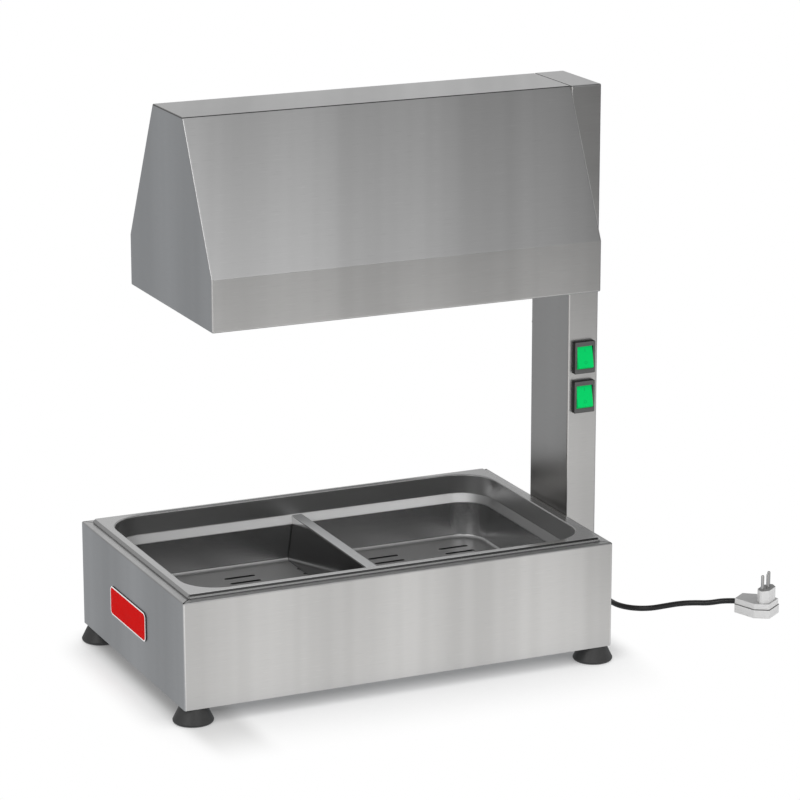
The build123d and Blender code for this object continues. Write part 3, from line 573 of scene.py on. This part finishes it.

# %% [markdown]
# The hood is folded from one sheet, and its inside is painted bright as painted light.
# Outside, its upper fold and its far end carry thin dark lines of painted shade, and its
# joint with the column shows as a dark line. The inside is found by direction: there the
# surface faces the hood's own middle. As painted light, the top is a little lighter towards
# the column, and the upright skirt lighter than the slope.

# %% Hood finish
hood_low, hood_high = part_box("hood_shell")
joint_width, end_line, end_share, lid = 0.0013, 0.0018, 0.75, 0.0015
upward_share = 0.05
# The inside grey is painted light. The line grey is painted shade on the fold and far end, and
# the dark joint at the column.
line_grey, painted_light_inside_grey, inside_metal = grey(0.10), grey(0.90), 0.55
fold_lean = (0.62, 0.93)
# Painted light: the top lighter towards the column and the skirt lighter than the slope.
top_levels, top_end = (0.91, 1.16), 0.12
skirt_lift = 0.11


def hood_inwards(tree):
    outwards = outwards_of(tree, hood_low, hood_high)
    return below(tree, times_plus(tree, normal_of(tree)["Z"], upward_share, outwards), 0.0)


def joint_and_shade_line(tree):
    place = place_of(tree)
    off_joint = unsigned(tree, less(tree, place["X"], hood_high[0]))
    at_joint = ramp(tree, off_joint, joint_width / 2, joint_width, 1.0, 0.0)
    # The far end's dark line is painted shade.
    at_end = ramp(tree, place["X"], hood_low[0] + end_line / 2,
                  hood_low[0] + end_line, end_share, 0.0)
    on_top = above(tree, place["Z"], hood_high[2] - lid)
    return both(tree, on_top, larger(tree, at_joint, at_end))


def hood_zones(tree, colour, rough):
    place, normal = place_of(tree), normal_of(tree)
    top_level = ramp(tree, place["X"], hood_low[0], hood_high[0] - top_end, *top_levels, "LINEAR")
    level = mix_numbers(tree, faces_of(tree)["Flat"], 1.0, top_level)
    skirt = both(tree, below(tree, unsigned(tree, normal["Z"]), 0.1),
                 below(tree, normal["Y"], -0.9))
    level = times_plus(tree, skirt, skirt_lift, level)
    # Painted shade: a dark line along the upper fold.
    fold = both(tree, between(tree, normal["Z"], *fold_lean, 0.06),
                below(tree, normal["Y"], -0.2))
    fold = larger(tree, fold, joint_and_shade_line(tree))
    colour = mix(tree, fold, scaled(tree, colour, level), line_grey)
    # The inside is painted bright as painted light.
    return mix(tree, hood_inwards(tree), colour, painted_light_inside_grey), rough


hood_steel = steel("hood_steel", grey(0.60), grey(0.53), 0.34, band=0.165, zones=hood_zones)
tree = hood_steel.node_tree
set_metal(hood_steel, ramp(tree, hood_inwards(tree), 0.0, 1.0, 1.0, inside_metal))
print("hood finish", hood_steel.name)

# %% [markdown]
# The base's top flanges meet in mitres, where dirt settles in a dark line. Its front
# flange is painted darker than the others as painted shade, and the upright corners carry
# a painted highlight. All of these lie at a certain distance from the outline, so
# the masks start from the distance inwards on each axis.

# %% Base finish
flange_top = base_high[2] - 0.0004
seam_width, seam_depth = 0.0015, 0.0012
edge_width, edge_soft, bend = 0.0017, 0.0008, 0.002
# Painted shade: the front flange's grey. Painted highlight: the corners' edge grey.
painted_shade_flange_grey, edge_grey, seam_grey = grey(0.46), grey(0.74), grey(0.03)


def base_zones(tree, colour, rough):
    place = place_of(tree)
    inwards = [inwards_from(tree, place[axis], base_low[i], base_high[i])
               for axis, i in (("X", 0), ("Y", 1))]
    flange = both(tree, above(tree, place["Z"], flange_top), below(tree, inwards[1], inwards[0]))
    # The front flange is painted darker as painted shade.
    front = both(tree, flange, below(tree, place["Y"], 0.0))
    colour = mix(tree, front, colour, painted_shade_flange_grey)
    # The upright corners are painted light as a painted highlight.
    corner = both(tree, *[ramp(tree, d, edge_width, edge_width + edge_soft, 1.0, 0.0)
                          for d in inwards])
    corner = both(tree, corner, below(tree, place["Z"], flange_top - bend))
    colour = mix(tree, corner, colour, edge_grey)
    uneven = unsigned(tree, less(tree, *inwards))
    seam = both(tree, ramp(tree, uneven, seam_width / 2, seam_width, 1.0, 0.0),
                above(tree, place["Z"], base_high[2] - seam_depth))
    return mix(tree, seam, colour, seam_grey), rough


base_steel = steel("base_steel", grey(0.64), grey(0.545), 0.36, zones=base_zones)
print("base finish", base_steel.name)

# %% [markdown]
# The column's inner side is painted darker as painted shade, darker still low down as a
# painted reflection of the dark pan, and a little warm in tone. Its front is painted
# darker beside the hood than below it as painted shade, and the joint with the hood
# shows as the same dark line as on the hood. Bolts, nuts and screws are plain bright
# steel with finer lines.

# %% Column and fastener finishes
# Painted shade: the inner side, darkest low down as a painted reflection of the pan, and the
# front beside the hood.
painted_shade_height, painted_shade_levels = 0.085, (0.34, 0.815)
inner_side_tone = (1.025, 1.0, 0.97)
hood_shade_range, hood_shade_level = (hood_low[2] + 0.055, hood_low[2] + 0.115), 0.86


def column_zones(tree, colour, rough):
    z = place_of(tree)["Z"]
    faces = faces_of(tree)
    # The front beside the hood is painted darker as painted shade.
    beside_hood = ramp(tree, z, *hood_shade_range, 1.0, hood_shade_level)
    colour = mix(tree, faces["To Front"], colour, scaled(tree, colour, beside_hood))
    # The inner side is painted darker as painted shade, darkest low down as a painted reflection
    # of the dark pan.
    low = ramp(tree, z, base_high[2], base_high[2] + painted_shade_height, *painted_shade_levels)
    tint = add_node(tree, "ShaderNodeVectorMath", {0: colour, 1: inner_side_tone},
                    operation="MULTIPLY")
    side = scaled(tree, tint.outputs[0], low)
    colour = mix(tree, faces["To Left"], colour, side)
    return mix(tree, joint_and_shade_line(tree), colour, line_grey), rough


column_steel = steel("column_steel", grey(0.66), grey(0.62), 0.32, zones=column_zones)
fastener_steel = steel("fastener_steel", grey(0.62, 0.02), grey(0.55, 0.02), 0.28,
                       lines=2400.0, band=0.02, bump=0.05)
print("steels", [m.name for m in (base_steel, hood_steel, column_steel, fastener_steel)])

# %% [markdown]
# The food pan is deep drawn from thinner sheet. Drawing burnishes the walls until they
# mirror, and leaves the floor brushed and rougher. The walls are painted dark as painted
# shade, the walls that face left lighter as painted light, and the back wall's lower part
# darker towards its left end as painted shade. The sides of the slots are painted nearly
# black as painted shade.

# %% Pan walls and floor
pan_low, pan_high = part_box("pan")
divider_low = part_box("pan_divider")[0]
shoulder_low, shoulder_high = 0.1205, 0.1305
pan_floor = pan_low[2] + 0.001
floor_top, slot_soft, end_inset = pan_floor + 0.002, 0.0004, 0.02
# The slot grey is painted shade in the slots.
floor_grey, slot_grey = grey(0.49), grey(0.01)
# Painted shade: the darker back wall grey and the plain wall grey. Painted light: the lighter
# back wall grey and the right wall grey.
shaded_back_wall_grey, lit_back_wall_grey = grey(0.31), grey(0.53)
wall_grey, right_wall_grey = grey(0.30), grey(0.45)
lower_rough, upper_rough = 0.22, 0.36


def wall_zones(tree, faces, place, colour, rough):
    z, upright = place["Z"], faces["Upright"]
    bottom = both(tree, faces["Flat"], below(tree, z, floor_top))
    colour = mix(tree, bottom, colour, floor_grey)
    upper = above(tree, z, shoulder_high)
    # The back wall is painted darker towards its left end as painted shade.
    lit_towards_divider = ramp(tree, place["X"], pan_low[0] + end_inset, divider_low[0], kind="LINEAR")
    back_wall = mix(tree, lit_towards_divider, shaded_back_wall_grey, lit_back_wall_grey)
    plain_wall = mix(tree, faces["To Left"], wall_grey, right_wall_grey)
    lower_wall = mix(tree, faces["To Front"], plain_wall, back_wall)
    wall = mix(tree, upper, lower_wall, plain_wall)
    colour = mix(tree, upright, colour, wall)
    # The slot sides are painted nearly black as painted shade.
    slot_side = both(tree, upright, ramp(tree, z, pan_floor, pan_floor + slot_soft, 1.0, 0.0))
    colour = mix(tree, slot_side, colour, slot_grey)
    wall_rough = mix_numbers(tree, upper, lower_rough, upper_rough)
    return colour, mix_numbers(tree, upright, rough, wall_rough)


print("pan floor at", round(pan_floor, 4))

# %% [markdown]
# The sloping shoulder, on which a second pan can rest, is painted as the brightest band
# of the pan, as painted light. At the back it is matt and painted lighter towards the
# right, the left side is painted lighter too, and the right side darkest, as painted
# shade. The rim's front has a slope painted dark as painted shade, a lighter lip below it
# and a painted highlight along its edge, and the rim at the back carries a dark line of
# painted reflection.

# %% Pan shoulder and rim
# Painted light: the shoulder greys and the left shoulder grey. Painted shade: the right shoulder
# grey.
shoulder_greys, shoulder_end, shoulder_rough = (grey(0.50), grey(1.0)), 0.12, 0.34
shoulder_right_grey, shoulder_left_grey = grey(0.34), grey(0.74)
rim_foot, rim_rough, rim_inside = base_high[2], 0.20, -0.02
slope_middle = pan_high[2] - 0.0021
highlight_edge = pan_low[1] + 0.0040
reflection_line = (pan_high[1] - 0.0100, pan_high[1] - 0.0062)
reflection_line_ends = (pan_low[0] + 0.08, pan_high[0] - 0.12)
# Painted shade: the slope grey. Painted highlight: the front edge grey. Painted reflection: the
# back rim's dark line grey.
rim_grey, lip_grey, slope_grey = grey(0.58), grey(0.50), grey(0.12)
painted_highlight_grey, painted_reflection_grey = grey(0.90), grey(0.10)


def shoulder_zone(tree, faces, place, colour, rough):
    shoulder = between(tree, place["Z"], shoulder_low, shoulder_high)
    # Painted light: the back shoulder is painted lighter towards the right.
    lit_towards_right = ramp(tree, place["X"], pan_low[0] + end_inset, pan_high[0] - shoulder_end,
                    kind="LINEAR")
    step = mix(tree, lit_towards_right, *shoulder_greys)
    # Painted shade on the right side, painted light on the left side.
    step = mix(tree, faces["To Left"], step, shoulder_right_grey)
    step = mix(tree, faces["To Right"], step, shoulder_left_grey)
    colour = mix(tree, shoulder, colour, step)
    return colour, mix_numbers(tree, shoulder, rough, shoulder_rough)


def outer_rim(tree):
    facing_out = above(tree, outwards_of(tree, pan_low, pan_high), rim_inside)
    return both(tree, above(tree, place_of(tree)["Z"], rim_foot), facing_out)


def rim_zone(tree, faces, place, colour, rough):
    # The front slope is painted dark as painted shade.
    front = mix(tree, above(tree, place["Z"], slope_middle), lip_grey, slope_grey)
    edge = mix(tree, faces["To Front"], rim_grey, front)
    # A painted highlight along the rim's front edge.
    highlight_band = both(tree, faces["Flat"], below(tree, place["Y"], highlight_edge))
    edge = mix(tree, highlight_band, edge, painted_highlight_grey)
    # Painted reflection: a dark line along the back rim.
    reflection_line_mask = both(tree, faces["Flat"], between(tree, place["Y"], *reflection_line, 0.001))
    reflection_line_mask = both(tree, reflection_line_mask, between(tree, place["X"], *reflection_line_ends, 0.05))
    edge = mix(tree, reflection_line_mask, edge, painted_reflection_grey)
    rim = outer_rim(tree)
    return mix(tree, rim, colour, edge), mix_numbers(tree, rim, rough, rim_rough)


print("shoulder from", shoulder_low, "to", shoulder_high)

# %% [markdown]
# The three zones are laid over each other from the walls up. Where the back shoulder is
# scuffed and the front lip rubbed, the sheet scatters light as a matt surface does, so
# there it counts as less than whole metal.

# %% Pan finish
shoulder_matt, lip_matt = 0.65, 0.32


def pan_zones(tree, colour, rough):
    faces, place = faces_of(tree), place_of(tree)
    for zone in (wall_zones, shoulder_zone, rim_zone):
        colour, rough = zone(tree, faces, place, colour, rough)
    return colour, rough


pan_steel = steel("pan_steel", grey(0.63), grey(0.60), 0.50, lines=500.0, line_share=0.05,
                  bump=0.05, zones=pan_zones)
tree = pan_steel.node_tree
z = place_of(tree)["Z"]
lip = both(tree, outer_rim(tree), below(tree, z, slope_middle))
scuffed = times_plus(tree, between(tree, z, shoulder_low, shoulder_high),
                     shoulder_matt, both(tree, lip, lip_matt))
scuffed = both(tree, scuffed, faces_of(tree)["To Front"])
set_metal(pan_steel, less(tree, 1.0, scuffed))
print("pan finish", pan_steel.name)

# %% [markdown]
# The divider is a strip folded like a tent, which stands across the pan. Its flanks are
# mirrors painted dark as painted shade, and its crest is brushed and a little matt. Near
# each end a slim ear of the flank is painted light as a painted reflection of the
# shoulder, and where the flank meets the wall a nearly black line is painted shade. The
# wall leans, so both masks are measured from it.

# %% Divider finish
contact_shade_width, contact_shade_soft = 0.0024, 0.0004
ear_reach, ear_depth, ear_soft = 0.040, 0.0095, 0.0008
wall_foot, wall_lean = 0.1385, 0.105
# Painted shade: the flank grey and the black line grey. Painted reflection: the ear grey.
flank_grey, ear_grey, contact_shade_grey = grey(0.25), grey(0.66), grey(0.03)
flank_rough, crest_metal = 0.10, 0.70


def divider_zones(tree, colour, rough):
    flat = faces_of(tree)["Flat"]
    place = place_of(tree)
    above_floor = less(tree, place["Z"], divider_low[2])
    wall = times_plus(tree, above_floor, wall_lean, wall_foot - contact_shade_width)
    from_wall = less(tree, wall, unsigned(tree, place["Y"]))
    below_crest = less(tree, shoulder_high, place["Z"])
    # The light ear is a painted reflection of the shoulder.
    ear_reflection = times_plus(tree, from_wall, ear_depth / ear_reach, below_crest)
    ear_reflection = ramp(tree, ear_reflection, ear_depth - ear_soft, ear_depth + ear_soft, 1.0, 0.0)
    flank = mix(tree, ear_reflection, flank_grey, ear_grey)
    colour = mix(tree, flat, flank, colour)
    # A nearly black line of painted shade where the flank meets the wall.
    contact_shade_mask = both(tree, ramp(tree, from_wall, contact_shade_soft, -contact_shade_soft),
               below(tree, place["Z"], shoulder_low))
    return mix(tree, contact_shade_mask, colour, contact_shade_grey), mix_numbers(tree, flat, flank_rough, rough)


divider_steel = steel("divider_steel", grey(0.60, -0.01), grey(0.58, -0.01), 0.42, lines=500.0,
                      line_share=0.04, bump=0.03, zones=divider_zones)
tree = divider_steel.node_tree
crest = faces_of(tree)["Flat"]
set_metal(divider_steel, ramp(tree, crest, 0.0, 1.0, 1.0, crest_metal))
print("divider finish", divider_steel.name)

# %% [markdown]
# Moulded parts are never perfectly smooth: the mould leaves a fine pebbled grain, and
# handling leaves slightly shinier and duller patches. A second group makes grain and
# patches for rubber and every plastic, with its own grain size in each finish.

# %% Moulded grain group
moulded, given, result = new_group(
    "moulded_grain", {"Grains per Metre": 900.0}, ["Grain", "Patches"])
tree = moulded
fill(tree, result, {
    "Grain": noise(tree, on_object(tree), scale=given["Grains per Metre"], roughness=0.6),
    "Patches": noise(tree, on_object(tree), scale=38.0, detail=3.0, roughness=0.55),
})


def moulding(name, light, dark, roughness, grains=900.0, bump=0.1, recolour=None, **sockets):
    made, tree, shader = new_finish(name, **sockets)
    surface = use_group(tree, moulded, Grains_per_Metre=grains)
    colour = mix(tree, surface["Patches"], dark, light)
    if recolour:
        colour = recolour(tree, colour)
    rough = times_plus(tree, surface["Patches"], 0.16, roughness - 0.08)
    fill(tree, shader, {"Base Color": colour, "Roughness": rough})
    add_bump(tree, shader, surface["Grain"], bump)
    return made


print("group", moulded.name)

# %% [markdown]
# Rubber is nearly black, the plug white, and the rockers are lit green from inside. A
# switch is grey on its front and painted black at the sides as painted shade. The plug's
# top is painted greyer than its sides as painted shade, with a fine dark seam between the
# shells. Glass, porcelain and small metal parts are as even as mouldings, so they use
# the same group.

# %% Rubber, plastic and lamp finishes
plug_seam, plug_boss, seam_half = 0.011, 0.030, 0.0003
# Painted shade: the bezel side grey and the plug's top and boss greys.
bezel_side_grey = grey(0.006)
plug_top_grey, plug_boss_grey, plug_seam_grey = grey(0.33), grey(0.17), grey(0.12)
lit_lens = {"grains": 1800.0, "Emission_Color": (0.0, 0.62, 0.135, 1), "Specular_IOR_Level": 0.06}


def bezel_sides(tree, colour):
    # The switch's sides are painted black as painted shade.
    front = ramp(tree, normal_of(tree)["Y"], -0.75, -0.95)
    return mix(tree, front, bezel_side_grey, colour)


def plug_faces(tree, colour):
    z = place_of(tree)["Z"]
    # The plug's top is painted greyer as painted shade.
    top = ramp(tree, normal_of(tree)["Z"], 0.7, 0.95)
    top_grey = mix(tree, above(tree, z, plug_boss), plug_top_grey, plug_boss_grey)
    colour = mix(tree, top, colour, top_grey)
    seam = between(tree, z, plug_seam - seam_half, plug_seam + seam_half, 0.0004)
    return mix(tree, seam, colour, plug_seam_grey)


foot_rubber = moulding("foot_rubber", grey(0.042), grey(0.028), 0.46)
lead_rubber = moulding("lead_rubber", grey(0.010), grey(0.006), 0.34, Specular_IOR_Level=0.7)
gland_plastic = moulding("gland_plastic", grey(0.030), grey(0.020), 0.42)
switch_plastic = moulding("switch_plastic", grey(0.125), grey(0.105), 0.42, grains=1800.0,
                          recolour=bezel_sides, Specular_IOR_Level=0.15)
plug_plastic = moulding("plug_plastic", grey(0.76, 0.004), grey(0.70, 0.004), 0.42,
                        recolour=plug_faces)
block_plastic = moulding("block_plastic", grey(0.70, 0.06), grey(0.62, 0.06), 0.45)
sleeve_plastic = moulding("sleeve_plastic", grey(0.66, 0.07), grey(0.57, 0.07), 0.55)
porcelain = moulding("porcelain", grey(0.85, 0.02), grey(0.79, 0.03), 0.22, bump=0.02)
lamp_glass = moulding("lamp_glass", grey(0.74, 0.01), grey(0.68, 0.01), 0.30, bump=0.02,
                      Metallic=0.6)
rocker_green = moulding("rocker_green", (0.0, 0.52, 0.115, 1), (0.0, 0.46, 0.100, 1), 0.36,
                        bump=0.04, Emission_Strength=0.28, **lit_lens)
mark_green = moulding("mark_green", (0.0, 0.42, 0.10, 1), (0.0, 0.37, 0.09, 1), 0.45,
                      Emission_Strength=0.12, **lit_lens)
brass = moulding("brass", (0.80, 0.62, 0.30, 1), (0.70, 0.52, 0.24, 1), 0.30, bump=0.02,
                 Metallic=1.0)
pin_metal = moulding("pin_metal", grey(0.74, 0.01), grey(0.68, 0.01), 0.14, bump=0.02,
                     Metallic=1.0)
cap_metal = moulding("cap_metal", grey(0.70, 0.02), grey(0.60, 0.02), 0.30, Metallic=1.0)
print("mouldings from", foot_rubber.name, "to", cap_metal.name)

# %% [markdown]
# The plate on the left side is plain red enamel with a thin white line round it, and its
# cut edge is painted dark as painted shade. The line follows the plate's rounded corners,
# so its mask is the distance to a rounded rectangle, worked out from the place on the plate.

# %% Red plate finish
plate_low, plate_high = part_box("nameplate")
plate_corner, line_width, line_soft = 0.007, 0.0016, 0.0002
# The edge grey is painted shade on the plate's cut edge.
plate_line_grey, plate_edge_grey = grey(0.82), grey(0.05)


def plate_line(tree, colour):
    place = place_of(tree)
    outside = []
    for axis, i in (("Y", 1), ("Z", 2)):
        inwards = inwards_from(tree, place[axis], plate_low[i], plate_high[i])
        past = less(tree, plate_corner, inwards)
        outside.append(larger(tree, past, 0.0))
    start = plate_corner - line_width
    line = ramp(tree, length_of(tree, *outside), start - line_soft, start)
    face = faces_of(tree)["To Left"]
    colour = mix(tree, line, colour, plate_line_grey)
    # The plate's cut edge is painted dark as painted shade.
    return mix(tree, face, plate_edge_grey, colour)


red_plate = moulding("red_plate", (0.62, 0.002, 0.001, 1), (0.56, 0.002, 0.001, 1), 0.50,
                     bump=0.02, recolour=plate_line, Specular_IOR_Level=0.02)
print("plate", [round(v, 4) for v in plate_high - plate_low])

# %% [markdown]
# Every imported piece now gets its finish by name. The list of pieces left over should be
# empty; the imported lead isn't in it, because the curve stands in for it.

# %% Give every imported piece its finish
finish_of = {
    base_steel: "base_casing bottom_panel backing_plate",
    hood_steel: "hood_shell lamp_bracket",
    column_steel: "column_shell column_cover",
    pan_steel: "pan",
    divider_steel: "pan_divider",
    fastener_steel: "block_screws column_bolts column_nuts cover_screws earth_stud foot_nuts "
                    "foot_screws holder_nipples holder_nuts hood_bolts hood_nuts",
    foot_rubber: "foot_front_left foot_front_right foot_rear_left foot_rear_right "
                 "wire_grommet",
    lead_rubber: "supply_tail",
    gland_plastic: "cord_gland gland_nut",
    switch_plastic: "switch_body_lower switch_body_upper",
    rocker_green: "rocker_lower rocker_upper",
    plug_plastic: "plug_base plug_top",
    pin_metal: "plug_pins",
    block_plastic: "terminal_block",
    sleeve_plastic: "earth_wire switch_feed switch_jumper lamp_lead_left lamp_lead_right",
    porcelain: "lampholder_left lampholder_right",
    lamp_glass: "lamp_bulb_left lamp_bulb_right",
    cap_metal: "lamp_cap_left lamp_cap_right",
    brass: "switch_blades",
    red_plate: "nameplate",
}
left_over = set(nodes) - {"power_cord"}
for finish, names in finish_of.items():
    for name in names.split():
        nodes[name].data.materials.clear()
        nodes[name].data.materials.append(finish)
        left_over.remove(name)
lead_curve.materials.append(lead_rubber)
print("pieces without a finish", sorted(left_over))

# %% [markdown]
# A few small pieces are easier to grow than to draw. These helpers start a tree of
# Geometry Nodes, dress what it makes, run it on an object and keep the mesh.

# %% Geometry node helpers
import bmesh
from mathutils import Matrix


def shape_tree(name, inputs):
    tree = bpy.data.node_groups.new(name, "GeometryNodeTree")
    sockets = [("Geometry", "INPUT", "Geometry")]
    sockets += [(label, "INPUT", kind) for label, kind in inputs.items()]
    for label, way, kind in sockets + [("Geometry", "OUTPUT", "Geometry")]:
        tree.interface.new_socket(label, in_out=way, socket_type=f"NodeSocket{kind}")
    return tree, tree.nodes.new("NodeGroupInput").outputs, tree.nodes.new("NodeGroupOutput")


def dress(tree, instances, finish, result):
    whole = add_node(tree, "GeometryNodeRealizeInstances", {0: instances.outputs[0]})
    dressed = add_node(tree, "GeometryNodeSetMaterial", {
        "Geometry": whole.outputs[0], "Material": finish})
    tree.links.new(dressed.outputs[0], result.inputs[0])


def plain_mesh(name, made):
    bpy.context.view_layer.update()
    evaluated = made.evaluated_get(bpy.context.evaluated_depsgraph_get())
    mesh = bpy.data.meshes.new_from_object(evaluated)
    mesh.name = name
    made.modifiers.clear()
    made.data = mesh
    return made


def grown(name, start, tree, values):
    made = bpy.data.objects.new(name, start)
    scene.collection.objects.link(made)
    modifier = made.modifiers.new("shape", "NODES")
    modifier.node_group = tree
    for socket in tree.interface.items_tree:
        if socket.in_out == "INPUT" and socket.name in values:
            modifier[socket.identifier] = values[socket.name]
    return plain_mesh(name, made)


def mesh_of(name, shape):
    bmesh.ops.recalc_face_normals(shape, faces=shape.faces)
    mesh = bpy.data.meshes.new(name)
    shape.to_mesh(mesh)
    shape.free()
    return mesh


print("geometry node helpers ready")

# %% [markdown]
# The cover at the back of the column is held by six pan head screws. One head is turned
# in mesh code as on a lathe, and a Boolean cuts the cross recess into it.

# %% One screw head
head_width, head_height = 0.0065, 0.0022
dome_steps, wall_share = 7, 0.3
cross_long, cross_wide, cross_deep = 0.0040, 0.0009, 0.0026


def turned(profile, steps=28):
    shape = bmesh.new()
    points = [shape.verts.new((r, 0, z)) for r, z in profile]
    edges = [shape.edges.new(pair) for pair in zip(points, points[1:])]
    bmesh.ops.spin(shape, geom=points + edges, axis=(0, 0, 1), cent=(0, 0, 0),
                   angle=2 * pi, steps=steps)
    bmesh.ops.remove_doubles(shape, verts=shape.verts, dist=1e-6)
    return shape


dome = [(head_width / 2 * cos(a), head_height * (wall_share + (1 - wall_share) * sin(a)))
        for a in (pi / 2 * i / dome_steps for i in range(dome_steps))]
profile = [(0, 0), (head_width / 2, 0)] + dome + [(0, head_height)]
head = bpy.data.objects.new("screw_head", mesh_of("screw_head", turned(profile)))
cross = bmesh.new()
arm = (Matrix.Translation((0, 0, head_height))
       @ Matrix.Diagonal((cross_long, cross_wide, cross_deep, 1)))
for turn in (0, pi / 2):
    bmesh.ops.create_cube(cross, size=1, matrix=Matrix.Rotation(turn, 4, "Z") @ arm)
cutter = bpy.data.objects.new("cross_recess", mesh_of("cross_recess", cross))
for made in (head, cutter):
    scene.collection.objects.link(made)
recess = head.modifiers.new("recess", "BOOLEAN")
recess.operation, recess.solver, recess.use_self = "DIFFERENCE", "EXACT", True
recess.object = cutter
plain_mesh("screw_head", head)
bpy.data.objects.remove(cutter)
print("screw head faces", len(head.data.polygons))

# %% [markdown]
# Geometry Nodes set the head on a grid of two by three, each turned by a different
# amount, as screws are when they are driven home by hand. The seed is fixed, so the turns
# are the same every time.

# %% Cover screws
tree, given, result = shape_tree("cover_screws", {
    "Across": "Float", "Up": "Float", "Middle": "Vector", "Seed": "Int"})
grid = add_node(tree, "GeometryNodeMeshGrid", {
    "Size X": given["Across"], "Size Y": given["Up"], "Vertices X": 2, "Vertices Y": 3})
stood = add_node(tree, "GeometryNodeTransform", {
    "Geometry": grid.outputs["Mesh"], "Translation": given["Middle"],
    "Rotation": (pi / 2, 0, 0)})
turns = add_node(tree, "FunctionNodeRandomValue", {2: 0.0, 3: pi, "Seed": given["Seed"]},
                 data_type="FLOAT")
facing = add_node(tree, "ShaderNodeCombineXYZ", {"X": -pi / 2, "Y": turns.outputs[1]})
heads = add_node(tree, "GeometryNodeInstanceOnPoints", {
    "Points": stood.outputs[0], "Instance": given["Geometry"], "Rotation": facing.outputs[0]})
dress(tree, heads, fastener_steel, result)

screw_low, screw_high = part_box("cover_screws")
screws = grown("cover_screw_heads", head.data, tree, {
    "Across": screw_high[0] - screw_low[0] - head_width,
    "Up": screw_high[2] - screw_low[2] - head_width,
    "Middle": ((screw_low[0] + screw_high[0]) / 2, screw_high[1] - head_height,
               (screw_low[2] + screw_high[2]) / 2),
    "Seed": 4,
})
bpy.data.objects.remove(head)
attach(screws, "warmer")
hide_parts("cover_screws")
print("cover screws", len(screws.data.polygons), "faces")

# %% [markdown]
# The gland's tail is a tapered sleeve that keeps the lead from kinking. On the real one
# raised rings run round it, so that it bends evenly. Geometry Nodes lay rings along a
# line and scale each to the taper at its place.

# %% Gland rings
ring_count, ring_bead = 6, 0.11
ring_steps, bead_steps = 40, 10
sleeve_length, thick, thin = 0.023, 0.0085, 0.0055
first_share, last_share = 0.14, 0.90

tree, given, result = shape_tree("gland_rings", {
    "Count": "Int", "Start": "Vector", "End": "Vector",
    "First Radius": "Float", "Last Radius": "Float"})
line = add_node(tree, "GeometryNodeMeshLine", {
    "Count": given["Count"], "Start Location": given["Start"], "Offset": given["End"]},
    mode="END_POINTS")
index = add_node(tree, "GeometryNodeInputIndex")
last = less(tree, given["Count"], 1.0)
radius = ramp(tree, index.outputs[0], 0.0, last, given["First Radius"],
              given["Last Radius"], "LINEAR")
loop, bead = [
    add_node(tree, "GeometryNodeCurvePrimitiveCircle", {"Resolution": steps, "Radius": size})
    for steps, size in ((ring_steps, 1.0), (bead_steps, ring_bead))]
ring = add_node(tree, "GeometryNodeCurveToMesh", {
    "Curve": loop.outputs[0], "Profile Curve": bead.outputs[0]})
rings = add_node(tree, "GeometryNodeInstanceOnPoints", {
    "Points": line.outputs[0], "Instance": ring.outputs[0], "Rotation": (pi / 2, 0, 0),
    "Scale": radius})
dress(tree, rings, gland_plastic, result)

gland_low, gland_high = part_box("cord_gland")
gland_x, gland_z = (gland_low[0] + gland_high[0]) / 2, (gland_low[2] + gland_high[2]) / 2


def on_sleeve(share):
    y = gland_high[1] - sleeve_length + share * sleeve_length
    return (gland_x, y, gland_z), thick + (thin - thick) * share


(start, first_radius), (end, last_radius) = on_sleeve(first_share), on_sleeve(last_share)
rings = grown("gland_rings", bpy.data.meshes.new("gland_rings"), tree, {
    "Count": ring_count, "Start": start, "End": end,
    "First Radius": first_radius, "Last Radius": last_radius,
})
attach(rings, "warmer")
print("gland rings", len(rings.data.polygons), "faces")

# %% [markdown]
# Each rocker carries two small raised marks: a bar on the half that switches on and a
# ring on the half that switches off. They are moulded with the lens in a darker green. A
# flat shape is extruded a little, then leaned about the rocker's pivot with the rocker,
# and rides on it.

# %% Rocker marks
rocker_lean, rocker_reach = radians(-12), 0.008
mark_rise, mark_place = 0.00012, 0.0075
mark_steps, ring_outer, ring_inner = 28, 0.0020, 0.0014
bar_wide, bar_tall = 0.0004, 0.0020


def marks(name, pivot):
    shape = bmesh.new()
    turns = [2 * pi * i / mark_steps for i in range(mark_steps)]
    outer, inner = [
        [shape.verts.new((r * cos(a), 0, r * sin(a) - mark_place)) for a in turns]
        for r in (ring_outer, ring_inner)]
    flat = [shape.faces.new((outer[i - 1], outer[i], inner[i], inner[i - 1]))
            for i in range(mark_steps)]
    flat.append(shape.faces.new([
        shape.verts.new((u * bar_wide, 0, mark_place + w * bar_tall))
        for u, w in square]))
    raised = bmesh.ops.extrude_face_region(shape, geom=flat)["geom"]
    bmesh.ops.translate(shape, vec=(0, -2 * mark_rise, 0),
                        verts=[v for v in raised if isinstance(v, bmesh.types.BMVert)])
    bmesh.ops.translate(shape, vec=(0, mark_rise - rocker_reach, 0), verts=shape.verts)
    bmesh.ops.transform(shape, verts=shape.verts,
                        matrix=Matrix.Translation(pivot) @ Matrix.Rotation(rocker_lean, 4, "X"))
    made = bpy.data.objects.new(name, mesh_of(name, shape))
    made.data.materials.append(mark_green)
    scene.collection.objects.link(made)
    return made


for joint in frame["joints"]:
    rocker = joint["child"]
    if rocker.startswith("rocker"):
        made = marks(f"{rocker}_marks", joint["pos_m"])
        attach(made, rocker)
        print(made.name, len(made.data.polygons), "faces")

# %% [markdown]
# Last, the view layer is brought up to date.

# %% Bring the scene up to date
bpy.context.view_layer.update()
